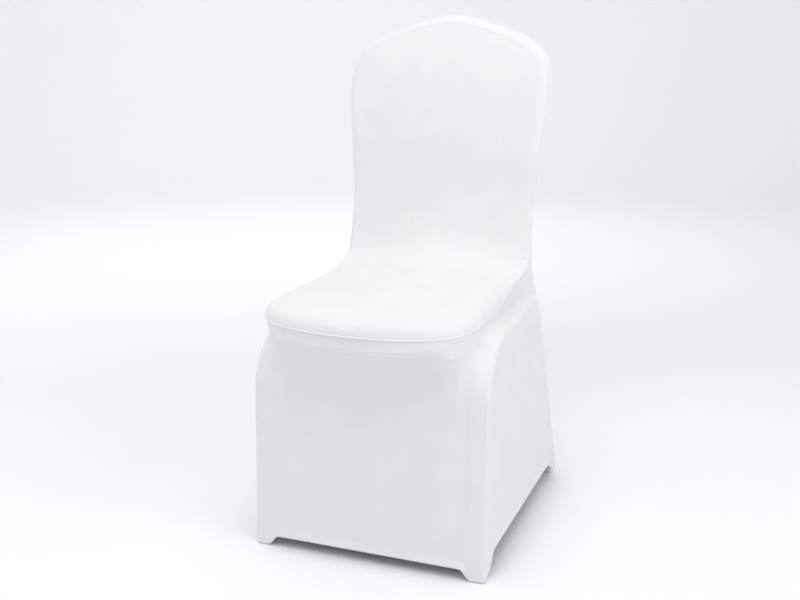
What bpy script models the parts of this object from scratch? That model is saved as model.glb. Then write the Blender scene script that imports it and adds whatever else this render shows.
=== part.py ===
"""Stretch chair cover: a hollow, fitted cover of knitted cloth in its stretched shape.

Metres, +Z up, +X to the right and -Y towards whoever looks at the front. The origin is the point under the
top of the crown where the chair's back holds the cover up. Shapes are worked out standing on the floor, and
make_object lowers them to that origin. Heights are above the floor, half widths are from the middle plane,
and depths grow towards the rear. Each sheet is an open surface, its outer face, with a Solidify modifier
that gives the cloth its thickness inwards.
"""

import math

import bpy
import numpy as np

# Cloth
SHEET = 0.0015
HEM_SHEET = 0.0026  # two layers, where the edge is turned up
HEM_DEPTH = 0.014
SEAM_GAP = 0.0004  # between the sheets that a seam joins
SEAM_STEP = 0.0012  # how far the skirt's top stands inside the seat's edge
SEAM_STRAIGHT = 0.0022  # straight lip of each sheet at the seam

# Back
HEIGHT = 0.930
BACK_THICK = 0.022  # of the back's frame without its padding
PAD_THICKNESS = (  # height, thickness of the padded back
    (0.56, 0.022),
    (0.61, 0.0245),
    (0.70, 0.0360),
    (0.79, 0.0410),
    (0.86, 0.0385),
    (0.93, 0.0300),
)
CROWN = ((0.1310, 0.8963), (0.1010, 0.9102), (0.043, 0.930), (0.0, 0.930))  # x, z of a cubic's four points
SHOULDER = ((0.1968, 0.827), (0.1932, 0.8708), (0.1310, 0.8963))  # x, z of a quadratic's three points
BACK_HALF_WIDTH = (  # height, half width
    (0.4746, 0.1870),
    (0.50, 0.1855),
    (0.58, 0.1836),
    (0.70, 0.1928),
    (0.79, 0.2005),
    (0.81, 0.1998),
    (0.827, 0.1968),
)
CROWN_SHIFT = 0.002  # the crown stands this far to the right
SHIFT_FROM = 0.80
SHIFT_SPAN = 0.075
BACK_BULGE = 0.006
PAD_HALF_WIDTH = 0.17
BACK_ROUNDING = 0.5  # radius of the back's edge as a share of its thickness

# Rear face of the back and the rear legs
KNEE_Z = 0.45
KNEE_Y = 0.1374
REAR_FOOT_Y = 0.2737
KNEE_SOFTNESS = 0.012
LEAN = 0.1606  # rearward for each metre up
LEAN_CURVE = 0.0205  # further rearward at the top of the span
LEAN_SPAN = 0.48
REAR_FOOT_X = 0.2218
REAR_SPLAY = 0.0565  # inward for each metre up
PINCH_FROM = 0.37  # height at which the rear legs start to draw in to the junction

# Seat pad
SEAT_Z = 0.459
FILLET = 0.045  # softness of the turn from back to seat, in the middle
FILLET_AT_SIDE = 0.022
FILLET_SIDE_X = 0.18
TURN_TOP_Z = 0.57  # the seam beside the turn runs from this height
TURN_FRONT_Y = 0.03  # to this depth
SEAT_HALF_WIDTH = 0.184
SEAT_WAIST = 0.180
WAIST_SPAN = 1.3  # of the side's length
SEAT_STRAIGHT = 0.7  # share of the side's length before it bends out to the junction
SEAT_SIDE_END_Y = -0.215
SEAT_FRONT = ((0.184, -0.215), (0.184, -0.305), (0.110, -0.3388), (0.0, -0.3388))  # x, y of a cubic
SEAT_INSET = 0.017  # radius of the seat's edge
INSET_FROM = -0.05  # the edge's radius changes from the back's to the seat's from this run
INSET_SPAN = 0.16
SEAT_LENGTH = 0.44
SEAT_CROWN = 0.008
SEAM_Z = 0.4375
SEAM_RISE = 0.0371
SEAM_RISE_POWER = 1.6
SEAM_RISE_FROM = -0.10
JUNCTION_Z = 0.4746  # where back, seat, skirt and rear panel meet
JUNCTION_X = 0.187
SEAT_CENTRE = np.array([0.0, -0.05, 0.0])
SEAT_RADIUS = 0.25
PAD_EDGE_Z = 0.416
PAD_DRAW_IN = 0.012  # share of the way to the centre from the seam to the pad's lower edge
PAD_EDGE_LIFT = 0.008  # at the seat's front corners
LIFT_FROM = (0.07, 0.02)  # half width and depth at which the lift starts
LIFT_SPAN = (0.09, 0.12)

# Side frame and front legs under the skirt
FRONT_FOOT_X = 0.2140
LEFT_FLARE = 0.0030
FLARE_FROM_Y = 0.1
FLARE_SPAN = 0.3
FRONT_FOOT_Y = -0.250
FRONT_LEAN = 0.0414  # rearward for each metre up
ARCH_Z = 0.398  # top of the side frame, a leg that bends back into a rail
ARCH_R = 0.094
ARCH_NARROWING = 0.0068
LEG_ROUND = 0.007
LEG_WIDE = 0.029
TUCK = 0.040  # height over which the front comes forward from under the pad
TUCK_ROUND = 0.006
FRONT_TUCK_FROM = 0.25  # share of the front's steps at which its tuck takes over from the side's bend
FRONT_TUCK_SPAN = 0.4
WEB_SET_IN = 0.0016  # of the front between its legs
WEB_SLOPE = 0.012
WEB_TOP = 0.34
WEB_TOP_SPAN = 0.08
SIDE_SET_IN = 0.0040  # of the side between its legs
SIDE_SLOPES = (0.03, 0.05)  # at the front leg and rail, and at the rear leg

# Hem and feet
FOOT_CLEAR = 0.0018
REAR_FOOT_CLEAR = 0.012  # the rear pockets show under the hem
FRONT_HEM_Z = 0.0205
SIDE_HEM_Z = 0.0365
REAR_HEM_Z = 0.0220
HEM_FLARE = 0.0035  # how far the turned hem stands out between the feet
HEM_AT_LEG = (0.024, 0.022)  # front and rear hems: length level under the foot, length of the slope
SIDE_HEM_AT_FRONT = (0.004, 0.062)
SIDE_HEM_AT_REAR = (0.016, 0.042)
POCKET_WIDE = 0.025
POCKET_TALL = 0.034
POCKET_ROUND = 0.008
POCKET_CLEAR = 0.0006
REAR_POCKET_CLEAR = 0.0025

# Steps of the grids, each for one half of the cover
CROWN_STEPS = 13
BACK_STEPS = 14
BACK_CROWDING = 0.5  # how much closer the steps stand at both ends of the back
SIDE_STEPS = 11
FRONT_STEPS = 17
REAR_MERGE_STEPS = 3.0  # of the side, over which the skirt's top narrows to the junction
RINGS = 4
REAR_RINGS = 3
POCKET_CORNER_STEPS = 3
RELAX_PASSES = 120
CROWN_SAMPLES = 120
SHOULDER_SAMPLES = 80
SIDE_SAMPLES = 160
CORNER_SAMPLE = CROWN_SAMPLES + 34  # of the shoulder's, where the grid has its corner
SMALLEST = 0.0001

# Cloth colour, roughness
CLOTH_COLOUR = (0.86, 0.865, 0.88, 1.0)
CLOTH_ROUGHNESS = 0.85


def smooth_step(value):
    """0 below 0, 1 above 1, level at both ends."""
    t = np.clip(value, 0.0, 1.0)
    return t * t * (3.0 - 2.0 * t)


def soft_ramp(value, softness):
    """0 far below zero, the value itself far above, with a soft turn between."""
    return softness * np.logaddexp(0.0, np.asarray(value) / softness)


def through(table, value):
    """Smooth curve through a table's two columns."""
    place, height = np.array(table).T
    slope = np.gradient(height, place)
    k = np.clip(np.searchsorted(place, value) - 1, 0, len(place) - 2)
    run = place[k + 1] - place[k]
    t = np.clip((value - place[k]) / run, 0.0, 1.0)
    start = height[k] * (1 + 2 * t) * (1 - t) ** 2 + slope[k] * run * t * (1 - t) ** 2
    return start + height[k + 1] * t * t * (3 - 2 * t) + slope[k + 1] * run * t * t * (t - 1)


def bezier(points, count):
    """Points along a quadratic or cubic curve, its start first."""
    t = np.linspace(0.0, 1.0, count)[:, None]
    curve = np.array(points)[:, None, :] * np.ones((1, count, 1))
    while len(curve) > 1:
        curve = curve[:-1] * (1 - t) + curve[1:] * t
    return curve[0]


def arc_length(points):
    """Distance from the start of a polyline to each of its points."""
    steps = np.linalg.norm(np.diff(points, axis=0), axis=1)
    return np.concatenate([[0.0], np.cumsum(steps)])


def along(points, shares):
    """Points at these shares of a polyline's length."""
    length = arc_length(points)
    return np.stack([np.interp(shares * length[-1], length, column) for column in points.T], axis=1)


# Lines of the chair that the cover is stretched over

def rear_face_y(z):
    """Rear face: straight legs, a soft knee, and a back that leans and curves away."""
    below = soft_ramp(KNEE_Z - z, KNEE_SOFTNESS)
    above = soft_ramp(z - KNEE_Z, KNEE_SOFTNESS)
    leg = (REAR_FOOT_Y - KNEE_Y) * below / KNEE_Z
    return KNEE_Y + leg + LEAN * above + LEAN_CURVE * (above / LEAN_SPAN) ** 2


def back_thick(z):
    """Thickness of the back: its frame low down, frame and padding higher up."""
    return np.where(z < PAD_THICKNESS[0][0], BACK_THICK, through(PAD_THICKNESS, z))


def side_seam_y(z):
    """Depth of the seam between the front and rear sheets, halfway through the back."""
    return rear_face_y(z) - back_thick(z) / 2


HELD_AT = np.array([0.0, side_seam_y(HEIGHT), HEIGHT - SHEET])


def rear_leg_x(z):
    """Outer face of the rear legs, splayed, and drawn in just under the seat."""
    pinch = REAR_FOOT_X - REAR_SPLAY * JUNCTION_Z - JUNCTION_X
    return REAR_FOOT_X - REAR_SPLAY * z - pinch * smooth_step((z - PINCH_FROM) / (JUNCTION_Z - PINCH_FROM))


def seat_seam_z(y):
    """Height of the seat's seam along the side, rising towards the back."""
    share = np.clip((y - SEAM_RISE_FROM) / (side_seam_y(JUNCTION_Z) - SEAM_RISE_FROM), 0.0, 1.0)
    return SEAM_Z + SEAM_RISE * share**SEAM_RISE_POWER


def seat_side_x(y):
    """Half width of the seat along its side, with a slight waist."""
    share = np.clip((y - SEAT_SIDE_END_Y) / (side_seam_y(JUNCTION_Z) - SEAT_SIDE_END_Y), 0.0, 1.0)
    waist = (SEAT_HALF_WIDTH - SEAT_WAIST) * np.sin(np.pi * np.clip(share / WAIST_SPAN, 0, 1)) ** 2
    bend = smooth_step((share - SEAT_STRAIGHT) / (1 - SEAT_STRAIGHT))
    return SEAT_HALF_WIDTH - waist + (JUNCTION_X - SEAT_HALF_WIDTH) * bend


def front_leg_y(z):
    """Front face of the front legs, leaning back a little."""
    return FRONT_FOOT_Y + FRONT_LEAN * z


# The seam from the crown's middle down the right side and along the seat to the middle of its front

def crown_to_junction():
    """Half of the back's outline, with its corner between crown and side at a set share."""
    crown = bezier(CROWN[::-1], CROWN_SAMPLES)
    shoulder = bezier(SHOULDER[::-1], SHOULDER_SAMPLES)
    z = np.linspace(SHOULDER[0][1], JUNCTION_Z, SIDE_SAMPLES)
    side = np.stack([through(BACK_HALF_WIDTH, z), z], axis=1)
    flat = np.concatenate([crown[:-1], shoulder[:-1], side])
    seam = np.stack([flat[:, 0], side_seam_y(flat[:, 1]), flat[:, 1]], axis=1)
    corner = arc_length(seam)[CORNER_SAMPLE] / arc_length(seam)[-1]
    down = np.linspace(0, 1, BACK_STEPS + 1)
    down = down - BACK_CROWDING * np.sin(2 * np.pi * down) / (2 * np.pi)
    shares = np.concatenate([np.linspace(0, corner, CROWN_STEPS + 1)[:-1], corner + (1 - corner) * down])
    return along(seam, shares)


def junction_to_front():
    """Half of the seat's outline: back along the side, then round the corner to the middle of the front."""
    y = np.linspace(side_seam_y(JUNCTION_Z), SEAT_SIDE_END_Y, SIDE_SAMPLES)
    side = np.stack([seat_side_x(y), y, seat_seam_z(y)], axis=1)
    front = bezier(SEAT_FRONT, SIDE_SAMPLES)
    front = np.column_stack([front, np.full(SIDE_SAMPLES, SEAM_Z)])
    seam = np.concatenate([side[:-1], front])
    arch_start = front_leg_y(ARCH_Z) + ARCH_R
    start = np.interp(-arch_start, -seam[:, 1], arc_length(seam)) / arc_length(seam)[-1]
    shares = np.concatenate(
        [np.linspace(0, start, SIDE_STEPS + 1)[:-1], np.linspace(start, 1, FRONT_STEPS + 1)]
    )
    return along(seam, shares)


def mirrored_loop(half):
    """A closed loop from a half that starts and ends on the middle plane."""
    left = half[-2:0:-1] * np.array([-1.0] + [1.0] * (half.shape[1] - 1))
    return np.concatenate([half, left])


# Inside back and seat: one sheet over a profile that turns softly from the back into the seat

def fillet_at(x):
    """Softness of the turn between back and seat, tighter towards the sides."""
    return FILLET + (FILLET_AT_SIDE - FILLET) * smooth_step(np.abs(x) / FILLET_SIDE_X)


def profile(run, fillet):
    """Height above the seat, depth in front of the back, and how far the turn has gone, at each run."""
    rise = soft_ramp(-run, fillet)
    reach = soft_ramp(run, fillet)
    turned = 1.0 / (1.0 + np.exp(-run / fillet))
    return rise, reach, turned


def run_at_height(z):
    """Run at which the profile has this height, at the sides."""
    return -FILLET_AT_SIDE * np.log(np.expm1(np.maximum(z - SEAT_Z, SMALLEST) / FILLET_AT_SIDE))


def run_at_depth(y):
    """Run at which the profile has this depth, at the sides."""
    front = side_seam_y(SEAT_Z) - BACK_THICK / 2
    return FILLET_AT_SIDE * np.log(np.expm1(np.maximum(front - y, SMALLEST) / FILLET_AT_SIDE))


def inward_direction(run, fillet):
    """Unit vector from the outer face into the chair: +Y on the back, -Z on the seat."""
    turned = profile(run, fillet)[2]
    size = np.hypot(turned, 1 - turned)
    return np.stack([np.zeros_like(run), (1 - turned) / size, -turned / size], axis=-1)


def pad_rise(x, run):
    """How far the pads' crowns lift the outer face from its plain profile."""
    turned = profile(run, fillet_at(x))[2]
    across = 1 - np.clip(np.abs(x) / PAD_HALF_WIDTH, 0, 1) ** 2
    forward = 1 - np.clip(run / SEAT_LENGTH, 0, 1) ** 4
    return across * (BACK_BULGE * (1 - turned) + SEAT_CROWN * turned * forward)


def seat_back_face(x, run):
    """Outer face of the sheet over the back and the seat."""
    fillet = fillet_at(x)
    rise, reach, _ = profile(run, fillet)
    z = SEAT_Z + rise
    y = rear_face_y(z) - back_thick(z) - reach
    return np.stack([x, y, z], axis=-1) - inward_direction(run, fillet) * pad_rise(x, run)[..., None]


def seam_runs(half):
    """The profile's run beside each point of the half seam, bridged by length across the turn."""
    length = arc_length(half)
    back = half[:, 2] >= TURN_TOP_Z
    seat = (half[:, 1] <= TURN_FRONT_Y) & (half[:, 2] < TURN_TOP_Z)
    known = back | seat
    value = np.where(back, run_at_height(half[:, 2]), run_at_depth(np.minimum(half[:, 1], TURN_FRONT_Y)))
    return np.interp(length, length[known], value[known])


def inset_outline(flat, inset):
    """A closed flat outline moved inwards by a distance of its own at each point."""
    ahead = np.roll(flat, -1, axis=0) - np.roll(flat, 1, axis=0)
    normal = np.stack([-ahead[:, 1], ahead[:, 0]], axis=1)
    return flat + normal / np.linalg.norm(normal, axis=1)[:, None] * inset[:, None]


def quarter_turn(seam, face, inward, rings):
    """Rings from the face round a quarter ellipse to a short straight lip at the seam."""
    edge = seam - inward * SEAM_STRAIGHT
    reach = face - edge
    deep = (reach * inward).sum(axis=1, keepdims=True) * inward
    angle = np.linspace(math.pi / 2, 0, rings)[:, None, None]
    turn = edge + (reach - deep) * (1 - np.cos(angle)) + deep * np.sin(angle)
    return np.concatenate([turn, seam[None]])


def relaxed(points, faces, held):
    """Spreads the free points evenly: each moves to the mean of its neighbours, many times."""
    edges = np.concatenate([faces[:, [0, 1]], faces[:, [1, 2]], faces[:, [2, 3]], faces[:, [3, 0]]])
    edges = np.unique(np.sort(edges, axis=1), axis=0)
    edges = np.concatenate([edges, edges[:, ::-1]])
    count = np.bincount(edges[:, 0], minlength=len(points))[:, None]
    for _ in range(RELAX_PASSES):
        total = np.zeros_like(points)
        np.add.at(total, edges[:, 0], points[edges[:, 1]])
        points = np.where(held[:, None], points, total / count)
    return points


def grid_faces(rows, columns):
    """Quads of a grid with this many points each way."""
    index = np.arange(rows * columns).reshape(rows, columns)
    return np.stack([index[:-1, :-1], index[1:, :-1], index[1:, 1:], index[:-1, 1:]], axis=-1).reshape(-1, 4)


def grid_rim(rows, columns):
    """The grid's outer points as a loop: top from its middle, right side, bottom, left side, top again."""
    index = np.arange(rows * columns).reshape(rows, columns)
    middle = columns // 2
    return np.concatenate(
        [index[0, middle:], index[1:, -1], index[-1, -2::-1], index[-2:0:-1, 0], index[0, :middle]]
    )


def crown_shift(z):
    """How far the top of the cover stands to the right at a height."""
    return CROWN_SHIFT * smooth_step((z - SHIFT_FROM) / SHIFT_SPAN)


def make_object(name, points, faces, material, collection, thick=None):
    """An object whose outer face is the given surface and whose cloth lies inside it.

    thick is each point's share of the hem's thickness, or None for a single layer everywhere.
    """
    mesh = bpy.data.meshes.new(name)
    points = points + crown_shift(points[:, 2:]) * [1.0, 0.0, 0.0]
    mesh.from_pydata((points - HELD_AT).tolist(), [], [tuple(face) for face in faces])
    mesh.shade_smooth()
    mesh.materials.append(material)
    piece = bpy.data.objects.new(name, mesh)
    collection.objects.link(piece)
    sheet = piece.modifiers.new("Cloth", "SOLIDIFY")
    sheet.thickness = HEM_SHEET
    sheet.offset = -1.0
    sheet.use_even_offset = True
    sheet.use_rim = True
    group = piece.vertex_groups.new(name="thickness")
    weight = np.full(len(points), SHEET / HEM_SHEET) if thick is None else thick
    for index, value in enumerate(weight.tolist()):
        group.add([index], value, "REPLACE")
    sheet.vertex_group = group.name
    return piece


def belt_faces(inner, outer, closed=True):
    """Quads between two rows of points that run side by side, facing as the grid inside them does."""
    quads = np.stack([inner[:-1], inner[1:], outer[1:], outer[:-1]], axis=1)
    if not closed:
        return quads
    last = np.array([[inner[-1], inner[0], outer[0], outer[-1]]])
    return np.concatenate([quads, last])


def seat_back_panel(material, collection):
    """Front sheet: a grid over its flat part, then rings that roll its edge over to the seam."""
    half = np.concatenate([crown_to_junction(), junction_to_front()[1:]])
    run = seam_runs(half)
    rounding = back_thick(half[:, 2]) * BACK_ROUNDING
    inset = rounding + (SEAT_INSET - rounding) * smooth_step((run - INSET_FROM) / INSET_SPAN)
    loop = mirrored_loop(np.column_stack([half, run, inset]))
    inner = inset_outline(loop[:, [0, 3]], loop[:, 4])
    inward = inward_direction(inner[:, 1], FILLET_AT_SIDE)
    seam = loop[:, :3] - inward * SEAM_GAP / 2
    rings = quarter_turn(seam, seat_back_face(inner[:, 0], inner[:, 1]), inward, RINGS)

    columns = 2 * CROWN_STEPS + 1
    rows = len(half) - 2 * CROWN_STEPS
    count = rows * columns
    rim = grid_rim(rows, columns)
    flat = np.zeros((count + len(loop), 2))
    flat[count:] = inner
    flat[rim] = inner
    spread = np.linspace(0.0, 1.0, rows)[:, None, None]
    grid = flat[:count].reshape(rows, columns, 2)
    grid[1:-1, 1:-1] = (grid[:1] * (1 - spread) + grid[-1:] * spread)[1:-1, 1:-1]
    ring = count + np.arange(len(loop))
    faces = np.concatenate([grid_faces(rows, columns), belt_faces(rim, ring)])
    flat = relaxed(flat, faces, np.arange(len(flat)) >= count)

    points = np.concatenate([seat_back_face(flat[:count, 0], flat[:count, 1]), *rings])
    for _ in range(RINGS):
        faces = np.concatenate([faces, belt_faces(ring, ring + len(loop))])
        ring = ring + len(loop)
    return make_object("seat_back_panel", points, faces, material, collection)


# Front legs, side frames and hem

def arch_turn(z):
    """How far round the side frame's bend a height is, 0 at the leg and 1 at the top rail."""
    return np.arcsin(np.clip((z - ARCH_Z + ARCH_R) / ARCH_R, 0.0, 1.0)) / (math.pi / 2)


def ridge_y(z):
    """The side frame's front edge: up the leg, then back round the bend."""
    bend_z = np.minimum(z, ARCH_Z - ARCH_R)
    back = ARCH_R * (1 - np.cos(arch_turn(z) * math.pi / 2))
    return front_leg_y(bend_z) + back


def ridge_x(z):
    """Outer face of the side frame, narrower at the top of its bend."""
    return FRONT_FOOT_X - ARCH_NARROWING * arch_turn(z)


def left_flare(y, z):
    """How much further out the front left leg stands than the right one."""
    return LEFT_FLARE * smooth_step((ARCH_Z - z) / ARCH_R) * smooth_step((FLARE_FROM_Y - y) / FLARE_SPAN)


def hem_rise(distance, at_foot):
    """Share of the hem's full rise at a distance from a foot's corner: level under the foot, then a slope."""
    level, slope = at_foot
    return smooth_step((distance - level) / slope)


def hem_height(rise, middle, foot):
    """Hem height from its share of the rise, between its height at the foot and in the middle."""
    return foot + (middle - foot) * rise


# Skirt: columns run down from the seat's seam, from the right rear leg round the front to the left rear leg

APRON_SHARES = (0.0, 0.16, 0.58, 1.0)  # rows from the seam to the pad's lower edge
SHELF_HEIGHTS = (0.408, ARCH_Z)  # rows from the pad's lower edge out to the rail
ARCH_ANGLES = (68, 45, 22, 0)  # rows round the side frame's bend, degrees
LEG_SHARES = (0.8, 0.6, 0.4, 0.2, 0.0)  # rows down the leg, share of the way left to the hem's fold
SIDE_FROM_RIDGE = (1.0, 0.94, 0.83, 0.71, 0.59, 0.47, 0.35, 0.235, 0.13, 0.054, 0.0152, 0.0)  # columns
FRONT_FROM_LEG = (  # first columns of the front, from the leg's outer face
    0.0, 0.007, 0.015, 0.023, 0.031, 0.038, 0.0445, 0.0495, 0.054, 0.0675, 0.0835,
)


def skirt_heights(hem):
    """Heights of each column's points below the pad, down to its own hem."""
    shelf = [np.full_like(hem, z) for z in SHELF_HEIGHTS]
    bend = [np.full_like(hem, ARCH_Z - ARCH_R + ARCH_R * math.sin(math.radians(a))) for a in ARCH_ANGLES]
    top = ARCH_Z - ARCH_R
    fold = hem + HEM_DEPTH
    leg = [fold + (top - fold) * share for share in LEG_SHARES]
    return np.stack(shelf + bend + leg + [hem])


def side_columns(pad):
    """The skirt's side, from the rear seam to the front leg's edge."""
    share = 1 - np.array(SIDE_FROM_RIDGE)
    length = side_seam_y(0.0) - front_leg_y(0.0)
    from_front, from_rear = (1 - share) * length, share * length
    rise = hem_rise(from_front, SIDE_HEM_AT_FRONT) * hem_rise(from_rear, SIDE_HEM_AT_REAR)
    foot = np.where(from_rear < from_front, REAR_FOOT_CLEAR, FOOT_CLEAR)
    z = skirt_heights(hem_height(rise, SIDE_HEM_Z, foot))
    x = rear_leg_x(z) + (ridge_x(z) - rear_leg_x(z)) * share
    y = side_seam_y(z) + (ridge_y(z) - side_seam_y(z)) * share
    over = smooth_step((z - ARCH_Z) / (PAD_EDGE_Z - ARCH_Z))
    x = x + (pad[:, 0] - x) * over
    y = y + (pad[:, 1] - y) * over
    from_frame = np.minimum(ARCH_Z - z, from_front)
    set_in = smooth_step((from_frame - LEG_WIDE) / SIDE_SLOPES[0])
    set_in = set_in * smooth_step((from_rear - LEG_WIDE) / SIDE_SLOPES[1])
    x = x - SIDE_SET_IN * set_in
    x[-1] += HEM_FLARE * rise
    on_ridge = (share == 1.0) & (z <= ARCH_Z)
    corner = LEG_ROUND * (1 - math.sqrt(0.5)) * on_ridge
    angle = arch_turn(z) * math.pi / 2
    return np.stack([x - corner, y + corner * np.cos(angle), z - corner * np.sin(angle)], axis=-1)


def front_columns(seam, pad):
    """The skirt's front, from the front leg's edge to the middle."""
    steps = len(seam) - 1
    leg_x = seam[:, 0].copy()
    leg_x[: len(FRONT_FROM_LEG)] = FRONT_FOOT_X - np.array(FRONT_FROM_LEG)
    from_leg = FRONT_FOOT_X - leg_x
    rise = hem_rise(from_leg, HEM_AT_LEG)
    z = skirt_heights(hem_height(rise, FRONT_HEM_Z, FOOT_CLEAR))
    front_law = np.exp(-(np.hypot(PAD_EDGE_Z - z, TUCK_ROUND) - TUCK_ROUND) / TUCK)
    side_law = 1 - np.cos(arch_turn(z) * math.pi / 2)
    forward = smooth_step((np.arange(steps + 1) / steps - FRONT_TUCK_FROM) / FRONT_TUCK_SPAN)
    tuck = side_law * (1 - forward) + front_law * forward
    y = front_leg_y(z) + (pad[:, 1] - front_leg_y(PAD_EDGE_Z)) * tuck
    narrowing = ARCH_NARROWING / (FRONT_FOOT_X - pad[0, 0])
    over = smooth_step((z - ARCH_Z) / (PAD_EDGE_Z - ARCH_Z))
    across = narrowing * arch_turn(z) + (1 - narrowing) * over
    x = leg_x + (pad[:, 0] - leg_x) * across
    web = smooth_step((from_leg - LEG_WIDE) / WEB_SLOPE) * smooth_step((WEB_TOP - z) / WEB_TOP_SPAN)
    y = y + WEB_SET_IN * web
    y[-1] -= HEM_FLARE * rise
    return np.stack([x, y, z], axis=-1)


def skirt_half():
    """Points of the skirt's right half: rows from seam to hem, columns from the rear seam to the middle."""
    seam = junction_to_front()
    whole = np.concatenate([crown_to_junction(), seam[1:]])
    inward = inward_direction(seam_runs(whole)[-len(seam) :], FILLET_AT_SIDE)
    share = np.arange(len(seam)) / REAR_MERGE_STEPS
    rear = 1 - smooth_step(share)
    pad = seam + (SEAT_CENTRE - seam) * PAD_DRAW_IN
    pad[:, 0] += (rear_leg_x(PAD_EDGE_Z) - pad[:, 0]) * rear
    pad[:, 1] += (side_seam_y(PAD_EDGE_Z) - pad[:, 1]) * rear
    corner = smooth_step((np.abs(seam[:, 0]) - LIFT_FROM[0]) / LIFT_SPAN[0])
    corner = corner * smooth_step((LIFT_FROM[1] - seam[:, 1]) / LIFT_SPAN[1])
    pad[:, 2] = PAD_EDGE_Z + PAD_EDGE_LIFT * corner
    top = seam + inward * (SEAM_GAP / 2 + 2 * SEAM_GAP * rear[:, None])
    apron = []
    for down in APRON_SHARES:
        row = top + (pad - top) * down
        row[:, 0] = np.where(share == 0, rear_leg_x(row[:, 2]), row[:, 0])
        row[:, 1] = np.where(share == 0, side_seam_y(row[:, 2]), row[:, 1])
        apron.append(row)
    tucked = SEAM_STEP * (1 - rear)[:, None]
    apron[0] = apron[0] + (SEAT_CENTRE - seam) * [1, 1, 0] / SEAT_RADIUS * tucked
    side = side_columns(pad[: SIDE_STEPS + 1])
    front = front_columns(seam[SIDE_STEPS:], pad[SIDE_STEPS:])
    below = np.concatenate([side, front[:, 1:]], axis=1)
    return np.concatenate([np.stack(apron), below])


def skirt(material, collection):
    """Sheet over both sides and the front, thicker along its turned hem."""
    right = skirt_half()
    right[:, 0, 1] -= SEAM_GAP
    left = right[:, -2::-1] * [-1, 1, 1]
    left[..., 0] -= left_flare(left[..., 1], left[..., 2])
    grid = np.concatenate([right, left], axis=1)
    rows, columns = grid.shape[:2]
    thick = np.full((rows, columns), SHEET / HEM_SHEET)
    thick[-2:] = 1.0
    faces = grid_faces(rows, columns)[:, ::-1]
    return make_object("skirt", grid.reshape(-1, 3), faces, material, collection, thick.reshape(-1))


# Outside back, from the crown down to the rear hem

REAR_HEM_FROM_CORNER = (0.012, 0.018, 0.024, 0.034, 0.044)  # first columns, from the leg's outer face


def rear_panel(material, collection):
    """Rear sheet: a grid over its flat part, rings that roll its edge over to the seam, and a turned hem."""
    leg = skirt_half()[1:, 0]
    half = np.concatenate([crown_to_junction(), leg])
    chain = np.concatenate([half[:0:-1] * [-1, 1, 1], half])
    inward = np.array([0.0, -1.0, 0.0])
    seam = chain - inward * SEAM_GAP / 2
    ahead = np.gradient(chain[:, [0, 2]], axis=0)
    normal = np.stack([ahead[:, 1], -ahead[:, 0]], axis=1)
    rounding = back_thick(chain[:, 2]) * BACK_ROUNDING
    inner = chain[:, [0, 2]] + normal * (rounding / np.linalg.norm(normal, axis=1))[:, None]
    inner[[0, -1], 1] = chain[[0, -1], 2]
    face = np.stack([inner[:, 0], rear_face_y(inner[:, 1]), inner[:, 1]], axis=1)
    rings = quarter_turn(seam, face, np.broadcast_to(inward, face.shape), REAR_RINGS)

    columns = 2 * CROWN_STEPS + 1
    rows = len(half) - CROWN_STEPS
    count = rows * columns
    index = np.arange(count).reshape(rows, columns)
    rim = np.concatenate([index[:0:-1, 0], index[0], index[1:, -1]])
    corner = REAR_FOOT_X - np.array(REAR_HEM_FROM_CORNER)
    hem_x = np.concatenate([corner, np.linspace(corner[-1], 0.0, CROWN_STEPS + 2 - len(corner))[1:]])
    hem_x = np.concatenate([-hem_x, hem_x[-2::-1]])
    rise = hem_rise(REAR_FOOT_X - np.abs(hem_x), HEM_AT_LEG)
    hem_z = hem_height(rise, REAR_HEM_Z, REAR_FOOT_CLEAR)
    flat = np.zeros((count + len(chain), 2))
    flat[count:] = inner
    flat[rim] = inner
    grid = flat[:count].reshape(rows, columns, 2)
    bottom = np.stack([hem_x, hem_z], axis=1)
    spread = np.linspace(0.0, 1.0, rows)[:, None, None]
    grid[1:, 1:-1] = (grid[:1] * (1 - spread) + bottom * spread)[1:, 1:-1]
    grid[-1] = bottom
    grid[-2] = bottom + [0.0, HEM_DEPTH]
    ring = count + np.arange(len(chain))
    faces = np.concatenate([grid_faces(rows, columns), belt_faces(rim, ring, closed=False)])
    held = np.arange(len(flat)) >= count - 2 * columns
    flat = relaxed(flat, faces, held)

    plane = flat[:count]
    points = [np.stack([plane[:, 0], rear_face_y(plane[:, 1]), plane[:, 1]], axis=1), *rings]
    for _ in range(REAR_RINGS):
        faces = np.concatenate([faces, belt_faces(ring, ring + len(chain), closed=False)])
        ring = ring + len(chain)
    points = np.concatenate(points)
    thick = np.full(len(points), SHEET / HEM_SHEET)
    thick[count - 2 * columns : count] = 1.0
    return make_object("rear_panel", points, faces[:, ::-1], material, collection, thick)


# Foot pockets: open-topped cups sewn inside the four lower corners

POCKET_HEIGHTS = (0.0, 0.004, 0.018, POCKET_TALL)  # rows up the wall
QUARTERS = 4


def pocket_outline():
    """Rounded square, anticlockwise from above, about its own centre."""
    half = POCKET_WIDE / 2 - POCKET_ROUND
    turn = 2 * math.pi / QUARTERS
    points = []
    for quarter in range(QUARTERS):
        middle = turn * (quarter + 0.5)
        for share in np.linspace(0.0, 1.0, POCKET_CORNER_STEPS):
            angle = turn * (quarter + share)
            x = math.copysign(half, math.cos(middle)) + POCKET_ROUND * math.cos(angle)
            y = math.copysign(half, math.sin(middle)) + POCKET_ROUND * math.sin(angle)
            points.append((x, y))
    return np.array(points)


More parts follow.
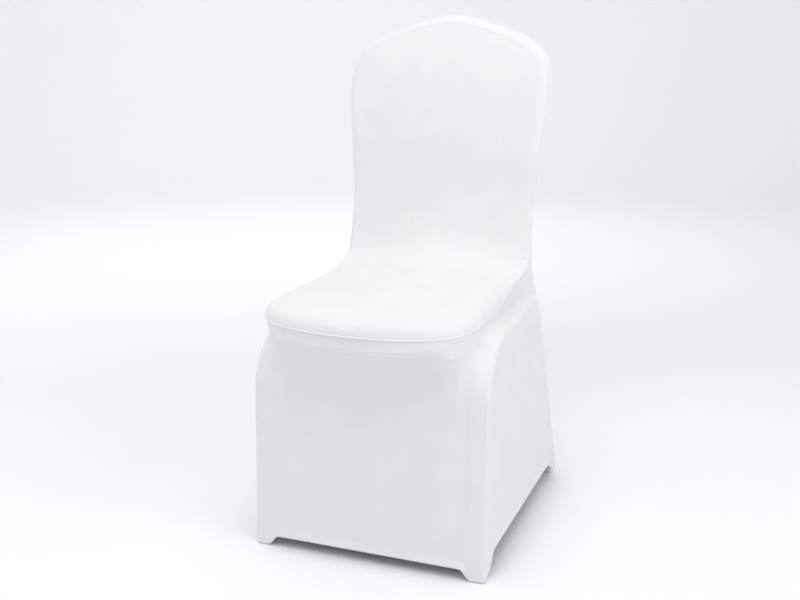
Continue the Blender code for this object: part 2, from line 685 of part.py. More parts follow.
def foot_pocket(name, side, rear, material, collection):
    """A cup in a leg's lower corner, leaning with the leg. side is -1 on the left and 1 on the right."""
    inside = HEM_SHEET + (REAR_POCKET_CLEAR if rear else POCKET_CLEAR) + POCKET_WIDE / 2
    outline = pocket_outline()
    points, faces = [], []
    for z in POCKET_HEIGHTS:
        if rear:
            centre = (rear_leg_x(z) - inside, rear_face_y(z) - inside)
        else:
            centre = (ridge_x(z) - inside, front_leg_y(z) + inside)
        out = left_flare(centre[1], z) if side < 0 else 0.0
        points += [(side * (centre[0] + out) + x, centre[1] + y, z) for x, y in outline]
    count = len(outline)
    for row in range(len(POCKET_HEIGHTS) - 1):
        for k in range(count):
            a, b = row * count + k, row * count + (k + 1) % count
            faces.append((a, b, b + count, a + count))
    sole = tuple(reversed(range(count)))
    return make_object(name, np.array(points), [sole] + faces, material, collection)


def cloth_material(name):
    """White matt knit for one piece."""
    material = bpy.data.materials.new(f"{name}_knit")
    material.use_nodes = True
    shader = material.node_tree.nodes["Principled BSDF"]
    shader.inputs["Base Color"].default_value = CLOTH_COLOUR
    shader.inputs["Roughness"].default_value = CLOTH_ROUGHNESS
    shader.inputs["Metallic"].default_value = 0.0
    return material


def main():
    """Removes what the scene holds and makes the cover's seven pieces."""
    for old in list(bpy.data.objects):
        bpy.data.objects.remove(old)
    collection = bpy.data.collections.new("stretch_chair_cover")
    bpy.context.scene.collection.children.link(collection)
    seat_back_panel(cloth_material("seat_back_panel"), collection)
    rear_panel(cloth_material("rear_panel"), collection)
    skirt(cloth_material("skirt"), collection)
    for end, rear in (("front", False), ("rear", True)):
        for hand, side in (("left", -1), ("right", 1)):
            name = f"foot_pocket_{end}_{hand}"
            foot_pocket(name, side, rear, cloth_material(name), collection)


main()
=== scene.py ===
"""Stretch chair cover of white knitted cloth, dressed for the render.

The cover is stretched over a crown-back chair that is left out. Shapes are worked out standing on
the floor, in metres, +Z up and -Y out of the front, and are lowered into the row frame when a mesh is
made.
"""

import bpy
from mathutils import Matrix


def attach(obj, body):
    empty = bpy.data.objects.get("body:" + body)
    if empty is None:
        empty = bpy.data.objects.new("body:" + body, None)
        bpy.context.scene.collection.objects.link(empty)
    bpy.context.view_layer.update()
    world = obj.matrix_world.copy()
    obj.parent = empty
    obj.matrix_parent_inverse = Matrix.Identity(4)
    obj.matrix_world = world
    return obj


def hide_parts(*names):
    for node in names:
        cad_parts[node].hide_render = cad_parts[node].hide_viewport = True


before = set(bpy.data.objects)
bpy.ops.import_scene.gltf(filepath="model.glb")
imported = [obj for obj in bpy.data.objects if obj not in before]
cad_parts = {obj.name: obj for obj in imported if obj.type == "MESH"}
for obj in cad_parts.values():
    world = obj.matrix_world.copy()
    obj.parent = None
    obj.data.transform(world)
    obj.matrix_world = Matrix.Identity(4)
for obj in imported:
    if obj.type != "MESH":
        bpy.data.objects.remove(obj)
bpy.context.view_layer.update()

import logging
import math
from dataclasses import dataclass
from enum import Enum

import bpy
import numpy as np
from mathutils import Vector
from numpy.typing import NDArray

Array = NDArray[np.float64]
Index = NDArray[np.int64]
Table = tuple[tuple[float, ...], ...]
Point = tuple[float, float, float]

log = logging.getLogger("chair_cover")
MM = 0.001


# Curves and blends


def smooth_step(value: Array | float) -> Array:
    """Returns 0 below 0 and 1 above 1, level at both ends: t squared times 3 less 2t."""
    t = np.clip(value, 0.0, 1.0)
    return t * t * (3.0 - 2.0 * t)


def sloped(distance: Array, start_and_span: tuple[float, float]) -> Array:
    """Returns 0 up to the start, 1 from the start and the span on, with a soft slope between."""
    start, span = start_and_span
    return smooth_step((distance - start) / span)


def soft_ramp(value: Array | float, softness: Array | float) -> Array:
    """Returns 0 far below zero and the value far above it, with a soft turn between."""
    return softness * np.logaddexp(0.0, np.asarray(value) / softness)


def through(table: Table, value: Array | float) -> Array:
    """Smooth curve through a table.

    Args:
        table: rows of a place and the height there, places rising.
        value: where the curve is read.

    Returns:
        Heights from a cubic between each two rows, its slopes taken from the rows around.
    """
    place, height = np.array(table).T
    slope = np.gradient(height, place)
    k = np.clip(np.searchsorted(place, value) - 1, 0, len(place) - 2)
    run = place[k + 1] - place[k]
    t = np.clip((value - place[k]) / run, 0.0, 1.0)
    start = height[k] * (1 + 2 * t) * (1 - t) ** 2 + slope[k] * run * t * (1 - t) ** 2
    return start + height[k + 1] * t * t * (3 - 2 * t) + slope[k + 1] * run * t * t * (t - 1)


def bezier(points: Table, count: int) -> Array:
    """Points along a quadratic or cubic curve, by repeated halving between its control points."""
    t = np.linspace(0.0, 1.0, count)[:, None]
    curve = np.array(points)[:, None, :] * np.ones((1, count, 1))
    while len(curve) > 1:
        curve = curve[:-1] * (1 - t) + curve[1:] * t
    return curve[0]


def arc_length(points: Array) -> Array:
    """Distance from the start of a polyline to each of its points."""
    steps = np.linalg.norm(np.diff(points, axis=0), axis=1)
    return np.concatenate([[0.0], np.cumsum(steps)])


def along(points: Array, shares: Array) -> Array:
    """Points at these shares of a polyline's length."""
    length = arc_length(points)
    return np.stack([np.interp(shares * length[-1], length, column) for column in points.T], axis=1)


def unit(vectors: Array) -> Array:
    """The vectors at length one."""
    return vectors / np.maximum(np.linalg.norm(vectors, axis=-1, keepdims=True), 1e-12)


# Grids and meshes


@dataclass
class Surface:
    """A surface of quads: its points, its faces by point number, and each point's place along the cloth."""

    points: Array
    faces: Index
    cloth: Array


def grid_faces(rows: int, columns: int) -> Index:
    """Quads of a grid with this many points each way, each wound down its left side first."""
    index = np.arange(rows * columns).reshape(rows, columns)
    quads = np.stack([index[:-1, :-1], index[1:, :-1], index[1:, 1:], index[:-1, 1:]], axis=-1)
    return quads.reshape(-1, 4)


def grid_rim(rows: int, columns: int) -> Index:
    """The grid's outer points as a loop: top from its middle, right side, bottom, left side, top again."""
    index = np.arange(rows * columns).reshape(rows, columns)
    middle = columns // 2
    sides = [index[0, middle:], index[1:, -1], index[-1, -2::-1], index[-2:0:-1, 0], index[0, :middle]]
    return np.concatenate(sides)


def tube_faces(rings: int, around: int, closed: bool = False) -> Index:
    """Quads of a tube of rings, each wound down the tube first; a closed one's last ring meets its first."""
    index = np.arange(rings * around).reshape(rings, around)
    onward = np.roll(index, -1, axis=0)
    quads = np.stack([index, onward, np.roll(onward, -1, axis=1), np.roll(index, -1, axis=1)], axis=-1)
    return quads[: rings if closed else rings - 1].reshape(-1, 4)


def rolled_faces(rim: Index, start: int, rings: int, closed: bool) -> Index:
    """Quads from a sheet's rim over the rows that roll to its seam.

    Args:
        rim: the rim's point numbers.
        start: number of the first row's first point.
        rings: how many rows there are, each as long as the rim.
        closed: whether the rim runs back to its start.

    Returns:
        The quads, row by row.
    """
    rows = start + np.arange(rings * len(rim)).reshape(rings, len(rim))
    rows = np.concatenate([rim[None], rows])
    if closed:
        rows = np.concatenate([rows, rows[:, :1]], axis=1)
    quads = np.stack([rows[:-1, :-1], rows[:-1, 1:], rows[1:, 1:], rows[1:, :-1]], axis=-1)
    return quads.reshape(-1, 4)


def filled(grid: Array, passes: int = 300) -> Array:
    """Fills a grid whose four sides are set.

    Args:
        grid: rows by columns of flat points, of which only the outer ones are used.
        passes: how often each inner point moves to the mean of its four neighbours.

    Returns:
        The grid with its inside blended from opposite sides and then evened out.
    """
    rows, columns = grid.shape[:2]
    v = np.linspace(0, 1, rows)[:, None, None]
    u = np.linspace(0, 1, columns)[None, :, None]
    top, bottom, left, right = grid[:1], grid[-1:], grid[:, :1], grid[:, -1:]
    left_side = (1 - v) * grid[0, 0] + v * grid[-1, 0]
    right_side = (1 - v) * grid[0, -1] + v * grid[-1, -1]
    corners = (1 - u) * left_side + u * right_side
    blend = (1 - v) * top + v * bottom + (1 - u) * left + u * right - corners
    out = grid.copy()
    out[1:-1, 1:-1] = blend[1:-1, 1:-1]
    for _ in range(passes):
        out[1:-1, 1:-1] = (out[:-2, 1:-1] + out[2:, 1:-1] + out[1:-1, :-2] + out[1:-1, 2:]) / 4
    return out


def grid_normals(grid: Array) -> Array:
    """Unit normals of a grid of points, the cross product of its two directions."""
    return unit(np.cross(np.gradient(grid, axis=1), np.gradient(grid, axis=0)))


def mirrored_loop(half: Array) -> Array:
    """A closed loop from a half that starts and ends on the middle plane."""
    left = half[-2:0:-1] * np.array([-1.0] + [1.0] * (half.shape[1] - 1))
    return np.concatenate([half, left])


def inset_outline(flat: Array, inset: Array) -> Array:
    """A closed flat outline moved inwards by a distance of its own at each point."""
    ahead = np.roll(flat, -1, axis=0) - np.roll(flat, 1, axis=0)
    normal = np.stack([-ahead[:, 1], ahead[:, 0]], axis=1)
    return flat + unit(normal) * inset[:, None]


def quarter_turn(seam: Array, face: Array, inward: Array, rings: int, straight: float) -> list[Array]:
    """Rolls a sheet's edge over to its seam.

    Args:
        seam: the seam's points.
        face: the points where the sheet's flat part ends.
        inward: the direction at each point in which the edge runs to the seam.
        rings: how many rows the roll has.
        straight: length of the straight lip at the seam.

    Returns:
        Rows on a quarter ellipse from the face to the lip, then the seam's own row.
    """
    edge = seam - inward * straight
    reach = face - edge
    deep = (reach * inward).sum(axis=1, keepdims=True) * inward
    angles = np.linspace(math.pi / 2, 0, rings)
    turn = [edge + (reach - deep) * (1 - math.cos(a)) + deep * math.sin(a) for a in angles]
    return turn[1:] + [seam]


# The chair under the cloth


@dataclass(frozen=True)
class ChairLines:
    """Lines of the chair that the cloth is stretched over.

    Heights are above the floor, widths are half widths, and depths grow towards the rear.
    """

    height: float = 0.930
    frame_thick: float = 0.022
    solid_thick: float = 0.0015
    pad_thick: Table = (
        (0.56, 0.022),
        (0.61, 0.0245),
        (0.70, 0.0360),
        (0.79, 0.0410),
        (0.86, 0.0385),
        (0.93, 0.0300),
    )
    crown: Table = ((0.1310, 0.8963), (0.1010, 0.9102), (0.043, 0.930), (0.0, 0.930))
    shoulder: Table = ((0.1968, 0.827), (0.1932, 0.8708), (0.1310, 0.8963))
    crown_shift: float = 0.002
    shift_from: float = 0.80
    shift_span: float = 0.075
    back_width: Table = (
        (0.4746, 0.1870),
        (0.50, 0.1855),
        (0.58, 0.1836),
        (0.70, 0.1928),
        (0.79, 0.2005),
        (0.81, 0.1998),
        (0.827, 0.1968),
    )
    back_bulge: float = 0.006
    pad_half_width: float = 0.17
    rounding: float = 0.5
    knee_z: float = 0.45
    knee_y: float = 0.1374
    knee_softness: float = 0.012
    rear_foot_y: float = 0.2737
    lean: float = 0.1606
    lean_curve: float = 0.0205
    lean_span: float = 0.48
    rear_foot_x: float = 0.2218
    rear_splay: float = 0.0565
    pinch_from: float = 0.37
    seat_z: float = 0.459
    fillet_middle: float = 0.045
    fillet_side: float = 0.022
    fillet_span: float = 0.18
    least_ramp: float = 0.1 * MM
    seat_width: float = 0.184
    seat_waist: float = 0.180
    waist_span: float = 1.3
    widening_from: float = 0.7
    side_end_y: float = -0.215
    seat_front: Table = ((0.184, -0.215), (0.184, -0.305), (0.110, -0.3388), (0.0, -0.3388))
    seat_rounding: float = 0.017
    seat_length: float = 0.44
    seat_crown: float = 0.008
    seam_z: float = 0.4375
    seam_rise: float = 0.0371
    seam_rise_power: float = 1.6
    seam_rise_from: float = -0.10
    junction_z: float = 0.4746
    junction_x: float = 0.187
    pad_edge_z: float = 0.416
    pad_edge_lift: float = 0.008
    front_foot_x: float = 0.2140
    left_flare: float = 0.0030
    flare_from: float = 0.1
    flare_span: float = 0.3
    front_foot_y: float = -0.250
    front_lean: float = 0.0414
    arch_z: float = 0.398
    arch_r: float = 0.094
    arch_narrowing: float = 0.0068
    leg_wide: float = 0.029

    def held_at(self) -> Array:
        """The row's origin, standing on the floor: under the crown's top by the solid sheet's thickness."""
        return np.array([0.0, float(self.side_seam_y(self.height)), self.height - self.solid_thick])

    def shifted(self, points: Array) -> Array:
        """The points with the crown moved to the right, more so the higher they are."""
        share = smooth_step((points[:, 2:] - self.shift_from) / self.shift_span)
        return points + self.crown_shift * share * [1.0, 0.0, 0.0]

    def rear_face_y(self, z: Array | float) -> Array:
        """Rear face: straight legs, a soft knee, and a back that leans and curves away."""
        below = soft_ramp(self.knee_z - z, self.knee_softness)
        above = soft_ramp(z - self.knee_z, self.knee_softness)
        leg = (self.rear_foot_y - self.knee_y) * below / self.knee_z
        return self.knee_y + leg + self.lean * above + self.lean_curve * (above / self.lean_span) ** 2

    def back_thick(self, z: Array | float) -> Array:
        """Thickness of the back: its frame low down, frame and padding higher up."""
        return np.where(z < self.pad_thick[0][0], self.frame_thick, through(self.pad_thick, z))

    def side_seam_y(self, z: Array | float) -> Array:
        """Depth of the seam between front and rear cloth, halfway through the back."""
        return self.rear_face_y(z) - self.back_thick(z) / 2

    def rear_leg_x(self, z: Array | float) -> Array:
        """Outer face of the rear legs, splayed, and pinched in just under the seat."""
        pinch = self.rear_foot_x - self.rear_splay * self.junction_z - self.junction_x
        share = smooth_step((z - self.pinch_from) / (self.junction_z - self.pinch_from))
        return self.rear_foot_x - self.rear_splay * z - pinch * share

    def seat_seam_z(self, y: Array) -> Array:
        """Height of the seat's seam along the side, rising towards the back."""
        length = self.side_seam_y(self.junction_z) - self.seam_rise_from
        share = np.clip((y - self.seam_rise_from) / length, 0.0, 1.0)
        return self.seam_z + self.seam_rise * share**self.seam_rise_power

    def seat_side_x(self, y: Array) -> Array:
        """Half width of the seat along its side, with a slight waist."""
        length = self.side_seam_y(self.junction_z) - self.side_end_y
        share = np.clip((y - self.side_end_y) / length, 0.0, 1.0)
        bow = np.sin(np.pi * np.clip(share / self.waist_span, 0, 1)) ** 2
        widening = smooth_step((share - self.widening_from) / (1 - self.widening_from))
        waist = (self.seat_width - self.seat_waist) * bow
        return self.seat_width - waist + (self.junction_x - self.seat_width) * widening

    def front_leg_y(self, z: Array | float) -> Array:
        """Front face of the front legs, leaning back a little."""
        return self.front_foot_y + self.front_lean * z

    def arch_turn(self, z: Array) -> Array:
        """How far round the side frame's bend a height is, 0 at the leg and 1 at the rail."""
        return np.arcsin(np.clip((z - self.arch_z + self.arch_r) / self.arch_r, 0.0, 1.0)) / (math.pi / 2)

    def ridge_y(self, z: Array) -> Array:
        """Depth of the side frame's front edge: up the leg, then back round the bend."""
        bend_z = np.minimum(z, self.arch_z - self.arch_r)
        return self.front_leg_y(bend_z) + self.arch_r * (1 - np.cos(self.arch_turn(z) * math.pi / 2))

    def ridge_x(self, z: Array) -> Array:
        """Outer face of the side frame."""
        return self.front_foot_x - self.arch_narrowing * self.arch_turn(z)

    def flare(self, y: Array, z: Array) -> Array:
        """How much further out the front left leg stands than the right one."""
        low = smooth_step((self.arch_z - z) / self.arch_r)
        return self.left_flare * low * smooth_step((self.flare_from - y) / self.flare_span)

    def fillet(self, x: Array) -> Array:
        """Softness of the turn between back and seat, tighter towards the sides."""
        sideways = smooth_step(np.abs(x) / self.fillet_span)
        return self.fillet_middle + (self.fillet_side - self.fillet_middle) * sideways

    def profile(self, run: Array, fillet: Array | float) -> tuple[Array, Array, Array]:
        """Side view of the cloth, from the back round into the seat.

        Args:
            run: distance along the cloth, negative up the back and positive along the seat.
            fillet: softness of the turn.

        Returns:
            Height above the seat, depth in front of the back, and how far the turn has gone.
        """
        return soft_ramp(-run, fillet), soft_ramp(run, fillet), 1.0 / (1.0 + np.exp(-run / fillet))

    def unramped(self, distance: Array) -> Array:
        """How far along the cloth the profile's soft ramp has come when it is this high."""
        clear = np.maximum(distance, self.least_ramp)
        return self.fillet_side * np.log(np.expm1(clear / self.fillet_side))

    def run_at_height(self, z: Array) -> Array:
        """Run at which the profile has this height."""
        return -self.unramped(z - self.seat_z)

    def run_at_depth(self, y: Array) -> Array:
        """Run at which the profile has this depth."""
        return self.unramped(self.side_seam_y(self.seat_z) - self.frame_thick / 2 - y)

    def inward(self, run: Array, fillet: Array | float) -> Array:
        """Unit vector from the outer face into the chair: +Y on the back, -Z on the seat."""
        turned = self.profile(run, fillet)[2]
        return unit(np.stack([np.zeros_like(run), 1 - turned, -turned], axis=-1))

    def seat_back_face(self, x: Array, run: Array) -> Array:
        """Outer face over the back and the seat: the profile, lifted by the crown of each pad."""
        fillet = self.fillet(x)
        rise, reach, turned = self.profile(run, fillet)
        z = self.seat_z + rise
        y = self.rear_face_y(z) - self.back_thick(z) - reach
        across = 1 - np.clip(np.abs(x) / self.pad_half_width, 0, 1) ** 2
        forward = 1 - np.clip(run / self.seat_length, 0, 1) ** 4
        lift = across * (self.back_bulge * (1 - turned) + self.seat_crown * turned * forward)
        return np.stack([x, y, z], axis=-1) - self.inward(run, fillet) * lift[..., None]


@dataclass(frozen=True)
class SeamLines:
    """The seam round the inside back and the seat, and how finely it is stepped.

    Each count of steps is for one half of the cover: over the crown, down the back, along the seat and
    round its front. The counts of points are how finely each stretch is read before it is stepped.
    """

    chair: ChairLines
    crown_steps: int = 78
    back_steps: int = 84
    side_steps: int = 66
    front_steps: int = 102
    corner_at: int = 154
    crown_points: int = 120
    shoulder_points: int = 80
    side_points: int = 160
    back_from_z: float = 0.57
    seat_from_y: float = 0.03
    past_seat: float = 0.01

    def crown_to_junction(self) -> Array:
        """Half of the back's outline, from the top of the crown to where back, seat and skirt meet."""
        chair = self.chair
        z = np.linspace(chair.shoulder[0][1], chair.junction_z, self.side_points)
        side = np.stack([through(chair.back_width, z), z], axis=1)
        crown = bezier(chair.crown[::-1], self.crown_points)
        shoulder = bezier(chair.shoulder[::-1], self.shoulder_points)
        flat = np.concatenate([crown[:-1], shoulder[:-1], side])
        seam = np.stack([flat[:, 0], chair.side_seam_y(flat[:, 1]), flat[:, 1]], axis=1)
        corner = arc_length(seam)[self.corner_at] / arc_length(seam)[-1]
        down = np.linspace(0, 1, self.back_steps + 1)
        down = down - 0.5 * np.sin(2 * np.pi * down) / (2 * np.pi)
        over = np.linspace(0, corner, self.crown_steps + 1)[:-1]
        return along(seam, np.concatenate([over, corner + (1 - corner) * down]))

    def junction_to_front(self) -> Array:
        """Half of the seat's outline, along the side and round the corner to the middle of the front."""
        chair = self.chair
        y = np.linspace(chair.side_seam_y(chair.junction_z), chair.side_end_y, self.side_points)
        side = np.stack([chair.seat_side_x(y), y, chair.seat_seam_z(y)], axis=1)
        level = np.full(self.side_points, chair.seam_z)
        front = np.column_stack([bezier(chair.seat_front, self.side_points), level])
        seam = np.concatenate([side[:-1], front])
        arch_start = chair.front_leg_y(chair.arch_z) + chair.arch_r
        start = np.interp(-arch_start, -seam[:, 1], arc_length(seam)) / arc_length(seam)[-1]
        before = np.linspace(0, start, self.side_steps + 1)[:-1]
        return along(seam, np.concatenate([before, np.linspace(start, 1, self.front_steps + 1)]))

    def whole_half(self) -> Array:
        """Half of the seam, from the top of the crown to the middle of the seat's front."""
        return np.concatenate([self.crown_to_junction(), self.junction_to_front()[1:]])

    def runs(self, half: Array) -> Array:
        """The profile's run beside each point of the half seam, bridged by length across the turn."""
        length = arc_length(half)
        back = half[:, 2] >= self.back_from_z
        known = back | (half[:, 1] <= self.seat_from_y)
        depth = self.chair.run_at_depth(np.minimum(half[:, 1], self.seat_from_y + self.past_seat))
        value = np.where(back, self.chair.run_at_height(half[:, 2]), depth)
        return np.interp(length, length[known], value[known])


# Creases


@dataclass(frozen=True)
class Crease:
    """One soft crease in the stretched cloth, through points on the sheet's own two directions.

    Its cloth is raised a little along both sides of it, and it fades out at its ends.
    """

    points: Table
    depth: float
    width: float
    lip_share: float = 0.35
    lip_at: float = 1.9
    least_share: float = 0.02
    fade_power: float = 0.7

    def press(self, place: Array) -> Array:
        """How deep the crease is at each place: a soft trough that fades out at its two ends.

        Args:
            place: points on the sheet's own two directions, in metres.

        Returns:
            Depths in metres, greatest on the crease's line.
        """
        line = np.array(self.points)
        length = arc_length(line)
        nearest = np.full(place.shape[:-1], np.inf)
        share = np.zeros(place.shape[:-1])
        for k in range(len(line) - 1):
            step = line[k + 1] - line[k]
            t = np.clip(((place - line[k]) @ step) / (step @ step), 0.0, 1.0)
            distance = np.linalg.norm(place - line[k] - t[..., None] * step, axis=-1)
            closer = distance < nearest
            nearest = np.where(closer, distance, nearest)
            share = np.where(closer, (length[k] + t * (length[k + 1] - length[k])) / length[-1], share)
        fade = np.sin(np.pi * np.clip(share, self.least_share, 1 - self.least_share)) ** self.fade_power
        trough = np.exp(-((nearest / self.width) ** 2))
        lip = self.lip_share * np.exp(-((nearest / self.width - self.lip_at) ** 2))
        return self.depth * fade * (trough - lip)


def pressed(creases: tuple[Crease, ...], place: Array) -> Array:
    """Depth of all the creases together at each place."""
    depth = np.zeros(place.shape[:-1])
    for crease in creases:
        depth = depth + crease.press(place)
    return depth


# Materials


def linear(hex_colour: str) -> tuple[float, float, float, float]:
    """Turns an sRGB hex value such as "F4F5F8" into linear red, green, blue and alpha."""
    parts = [int(hex_colour[i : i + 2], 16) / 255 for i in (0, 2, 4)]
    red, green, blue = [c / 12.92 if c <= 0.04045 else ((c + 0.055) / 1.055) ** 2.4 for c in parts]
    return red, green, blue, 1.0


def socket_of(node: bpy.types.Node, name: str) -> bpy.types.NodeSocket:
    """The input that a keyword stands for: i0 or i1 by its number, any other by its name."""
    if name[0] == "i" and name[1:].isdigit():
        return node.inputs[int(name[1:])]
    return node.inputs[name.replace("_", " ")]


def add_node(tree: bpy.types.NodeTree, kind: str, settings: dict | None = None, **inputs) -> bpy.types.Node:
    """Adds a node.

    Args:
        tree: the tree it goes into.
        kind: Blender's name of the node.
        settings: attributes of the node.
        inputs: its inputs, named as in socket_of; an output socket is linked, a value is set.

    Returns:
        The node.
    """
    node = tree.nodes.new(kind)
    for name, value in (settings or {}).items():
        setattr(node, name, value)
    for name, value in inputs.items():
        socket = socket_of(node, name)
        if isinstance(value, bpy.types.NodeSocket):
            tree.links.new(value, socket)
        else:
            socket.default_value = value
    return node


def new_material(name: str) -> tuple[bpy.types.Material, bpy.types.NodeTree, bpy.types.Node]:
    """A material with its tree and its Principled shader."""
    material = bpy.data.materials.new(name)
    material.use_nodes = True
    tree = material.node_tree
    return material, tree, tree.nodes["Principled BSDF"]


@dataclass(frozen=True)
class StretchKnit:
    """Warp-knitted polyester with spandex, bleached white: a matt cloth of fine upright ribs.

    The yarn's loose fibres give it a soft sheen at the edges. Its shade varies a little in broad patches.
    """

    name: str = "white_stretch_knit"
    light: str = "EAE9EB"
    dark: str = "E7E6E9"
    roughness: float = 0.88
    sheen: float = 0.08
    sheen_roughness: float = 0.45
    roughness_spread: float = 0.05
    specular: float = 0.3
    wale: float = 1.3 * MM  # the real one is 0.5 mm, too fine to show
    course: float = 1.1 * MM
    loop_share: float = 0.45
    patch: float = 45 * MM
    fibre: float = 0.9 * MM
    fibre_share: float = 1.6
    relief: float = 0.12 * MM
    relief_strength: float = 0.35
    shade_from: float = 0.3

    def build(self) -> bpy.types.Material:
        """Builds the material: ribs on the cloth's own UV map, patches and fibres in Object coordinates."""
        material, tree, shader = new_material(self.name)
        place = add_node(tree, "ShaderNodeTexCoord")
        cloth = add_node(tree, "ShaderNodeUVMap", {"uv_map": "cloth"})
        turn = add_node(tree, "ShaderNodeSeparateXYZ", Vector=cloth.outputs["UV"])
        times, plus, sine = ({"operation": kind} for kind in ("MULTIPLY", "ADD", "SINE"))
        across = add_node(tree, "ShaderNodeMath", times, i0=turn.outputs["X"], i1=2 * math.pi / self.wale)
        down = add_node(tree, "ShaderNodeMath", times, i0=turn.outputs["Y"], i1=2 * math.pi / self.course)
        ribs = add_node(tree, "ShaderNodeMath", sine, i0=across.outputs[0])
        loops = add_node(tree, "ShaderNodeMath", sine, i0=down.outputs[0])
        low = add_node(tree, "ShaderNodeMath", times, i0=loops.outputs[0], i1=self.loop_share)
        knit = add_node(tree, "ShaderNodeMath", plus, i0=ribs.outputs[0], i1=low.outputs[0])
        fibre, patch = (
            add_node(
                tree,
                "ShaderNodeTexNoise",
                Vector=place.outputs["Object"],
                Scale=1 / size,
                Detail=detail,
                Roughness=rough,
            )
            for size, detail, rough in ((self.fibre, 3.0, 0.6), (self.patch, 4.0, 0.55))
        )
        fuzz = add_node(tree, "ShaderNodeMath", times, i0=fibre.outputs["Fac"], i1=self.fibre_share)
        height = add_node(tree, "ShaderNodeMath", plus, i0=knit.outputs[0], i1=fuzz.outputs[0])
        bump = add_node(
            tree,
            "ShaderNodeBump",
            Height=height.outputs[0],
            Strength=self.relief_strength,
            Distance=self.relief,
        )
        shade = add_node(tree, "ShaderNodeValToRGB", Fac=patch.outputs["Fac"])
        ends = ((self.shade_from, self.dark), (1 - self.shade_from, self.light))
        for end, (position, colour) in zip(shade.color_ramp.elements, ends):
            end.position, end.color = position, linear(colour)
        dull = add_node(
            tree,
            "ShaderNodeMapRange",
            Value=fibre.outputs["Fac"],
            To_Min=self.roughness - self.roughness_spread,
            To_Max=self.roughness + self.roughness_spread,
        )
        tree.links.new(shade.outputs["Color"], shader.inputs["Base Color"])
        tree.links.new(dull.outputs["Result"], shader.inputs["Roughness"])
        tree.links.new(bump.outputs["Normal"], shader.inputs["Normal"])
        shader.inputs["Specular IOR Level"].default_value = self.specular
        shader.inputs["Sheen Weight"].default_value = self.sheen
        shader.inputs["Sheen Roughness"].default_value = self.sheen_roughness
        return material


@dataclass(frozen=True)
class SewingThread:
    """Textured polyester thread: a little glossier than the cloth, with the slant of its twist."""

    name: str = "white_polyester_thread"
    light: str = "F8F8FA"
    dark: str = "E2E3E9"
    roughness: float = 0.62
    twist: float = 0.8 * MM
    bands_a_unit: float = 0.314
    relief: float = 0.1 * MM
    relief_strength: float = 0.3

    def build(self) -> bpy.types.Material:
        """Builds the material: slanting bands for the twist, in colour and relief."""
        material, tree, shader = new_material(self.name)
        place = add_node(tree, "ShaderNodeTexCoord")
        bands = add_node(
            tree,
            "ShaderNodeTexWave",
            {"bands_direction": "DIAGONAL"},
            Vector=place.outputs["Object"],
            Scale=self.bands_a_unit / self.twist,
            Distortion=1.0,
            Detail=2.0,
        )
        shade = add_node(tree, "ShaderNodeValToRGB", Fac=bands.outputs["Fac"])
        shade.color_ramp.elements[0].color = linear(self.dark)
        shade.color_ramp.elements[1].color = linear(self.light)
        bump = add_node(
            tree,
            "ShaderNodeBump",
            Height=bands.outputs["Fac"],
            Strength=self.relief_strength,
            Distance=self.relief,
        )
        tree.links.new(shade.outputs["Color"], shader.inputs["Base Color"])
        tree.links.new(bump.outputs["Normal"], shader.inputs["Normal"])
        shader.inputs["Roughness"].default_value = self.roughness
        return material


@dataclass(frozen=True)
class PaleFloor:
    """Matt painted studio board, near white and faintly blue."""

    name: str = "pale_studio_board"
    light: str = "F8F9FB"
    dark: str = "F6F7FA"
    roughness: float = 0.9
    patches_a_metre: float = 1.3

    def build(self) -> bpy.types.Material:
        """Builds the material: two near whites in broad patches."""
        material, tree, shader = new_material(self.name)
        place = add_node(tree, "ShaderNodeTexCoord")
        patch = add_node(
            tree,
            "ShaderNodeTexNoise",
            Vector=place.outputs["Object"],
            Scale=self.patches_a_metre,
            Detail=3.0,
        )
        shade = add_node(tree, "ShaderNodeValToRGB", Fac=patch.outputs["Fac"])
        shade.color_ramp.elements[0].color = linear(self.dark)
        shade.color_ramp.elements[1].color = linear(self.light)
        tree.links.new(shade.outputs["Color"], shader.inputs["Base Color"])
        shader.inputs["Roughness"].default_value = self.roughness
        return material


class Hold(Enum):
    """How a sheet of cloth is held."""

    STRETCHED = "stretched"


# Pieces of the cover


@dataclass
class Workshop:
    """What every piece needs: the chair's lines, the seam, the materials and where the row's origin is."""

    chair: ChairLines
    seam: SeamLines
    knit: bpy.types.Material
    thread: bpy.types.Material
    origin: Array

    def make(self, name: str, surface: Surface, material: bpy.types.Material) -> bpy.types.Object:
        """Makes an object of a surface, lowered into the row frame, with its UV map along the cloth."""
        mesh = bpy.data.meshes.new(name)
        points = self.chair.shifted(surface.points) - self.origin
        mesh.from_pydata(points.tolist(), [], surface.faces.tolist())
        mesh.update()
        corners = np.empty(len(mesh.loops), dtype=np.int64)
        mesh.loops.foreach_get("vertex_index", corners)
        layer = mesh.uv_layers.new(name="cloth")
        layer.data.foreach_set("uv", surface.cloth[corners].ravel())
        mesh.shade_smooth()
        mesh.materials.append(material)
        piece = bpy.data.objects.new(name, mesh)
        bpy.context.scene.collection.objects.link(piece)
        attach(piece, "root")
        return piece

    def thicken(self, piece: bpy.types.Object, thick: float, weights: Array | None = None) -> None:
        """Gives a sheet its thickness inwards.

        Args:
            piece: the sheet.
            thick: thickness where the weight is 1.
            weights: share of the thickness at each point, or None for all of it.
        """
        sheet = piece.modifiers.new("Cloth", "SOLIDIFY")
        sheet.thickness = thick
        sheet.offset = -1.0
        sheet.use_even_offset = False
        sheet.use_rim = True
        if weights is None:
            return
        group = piece.vertex_groups.new(name="thickness")
        for value in np.unique(np.round(weights, 3)):
            chosen = np.flatnonzero(np.round(weights, 3) == value)
            group.add(chosen.tolist(), float(value), "REPLACE")
        sheet.vertex_group = group.name


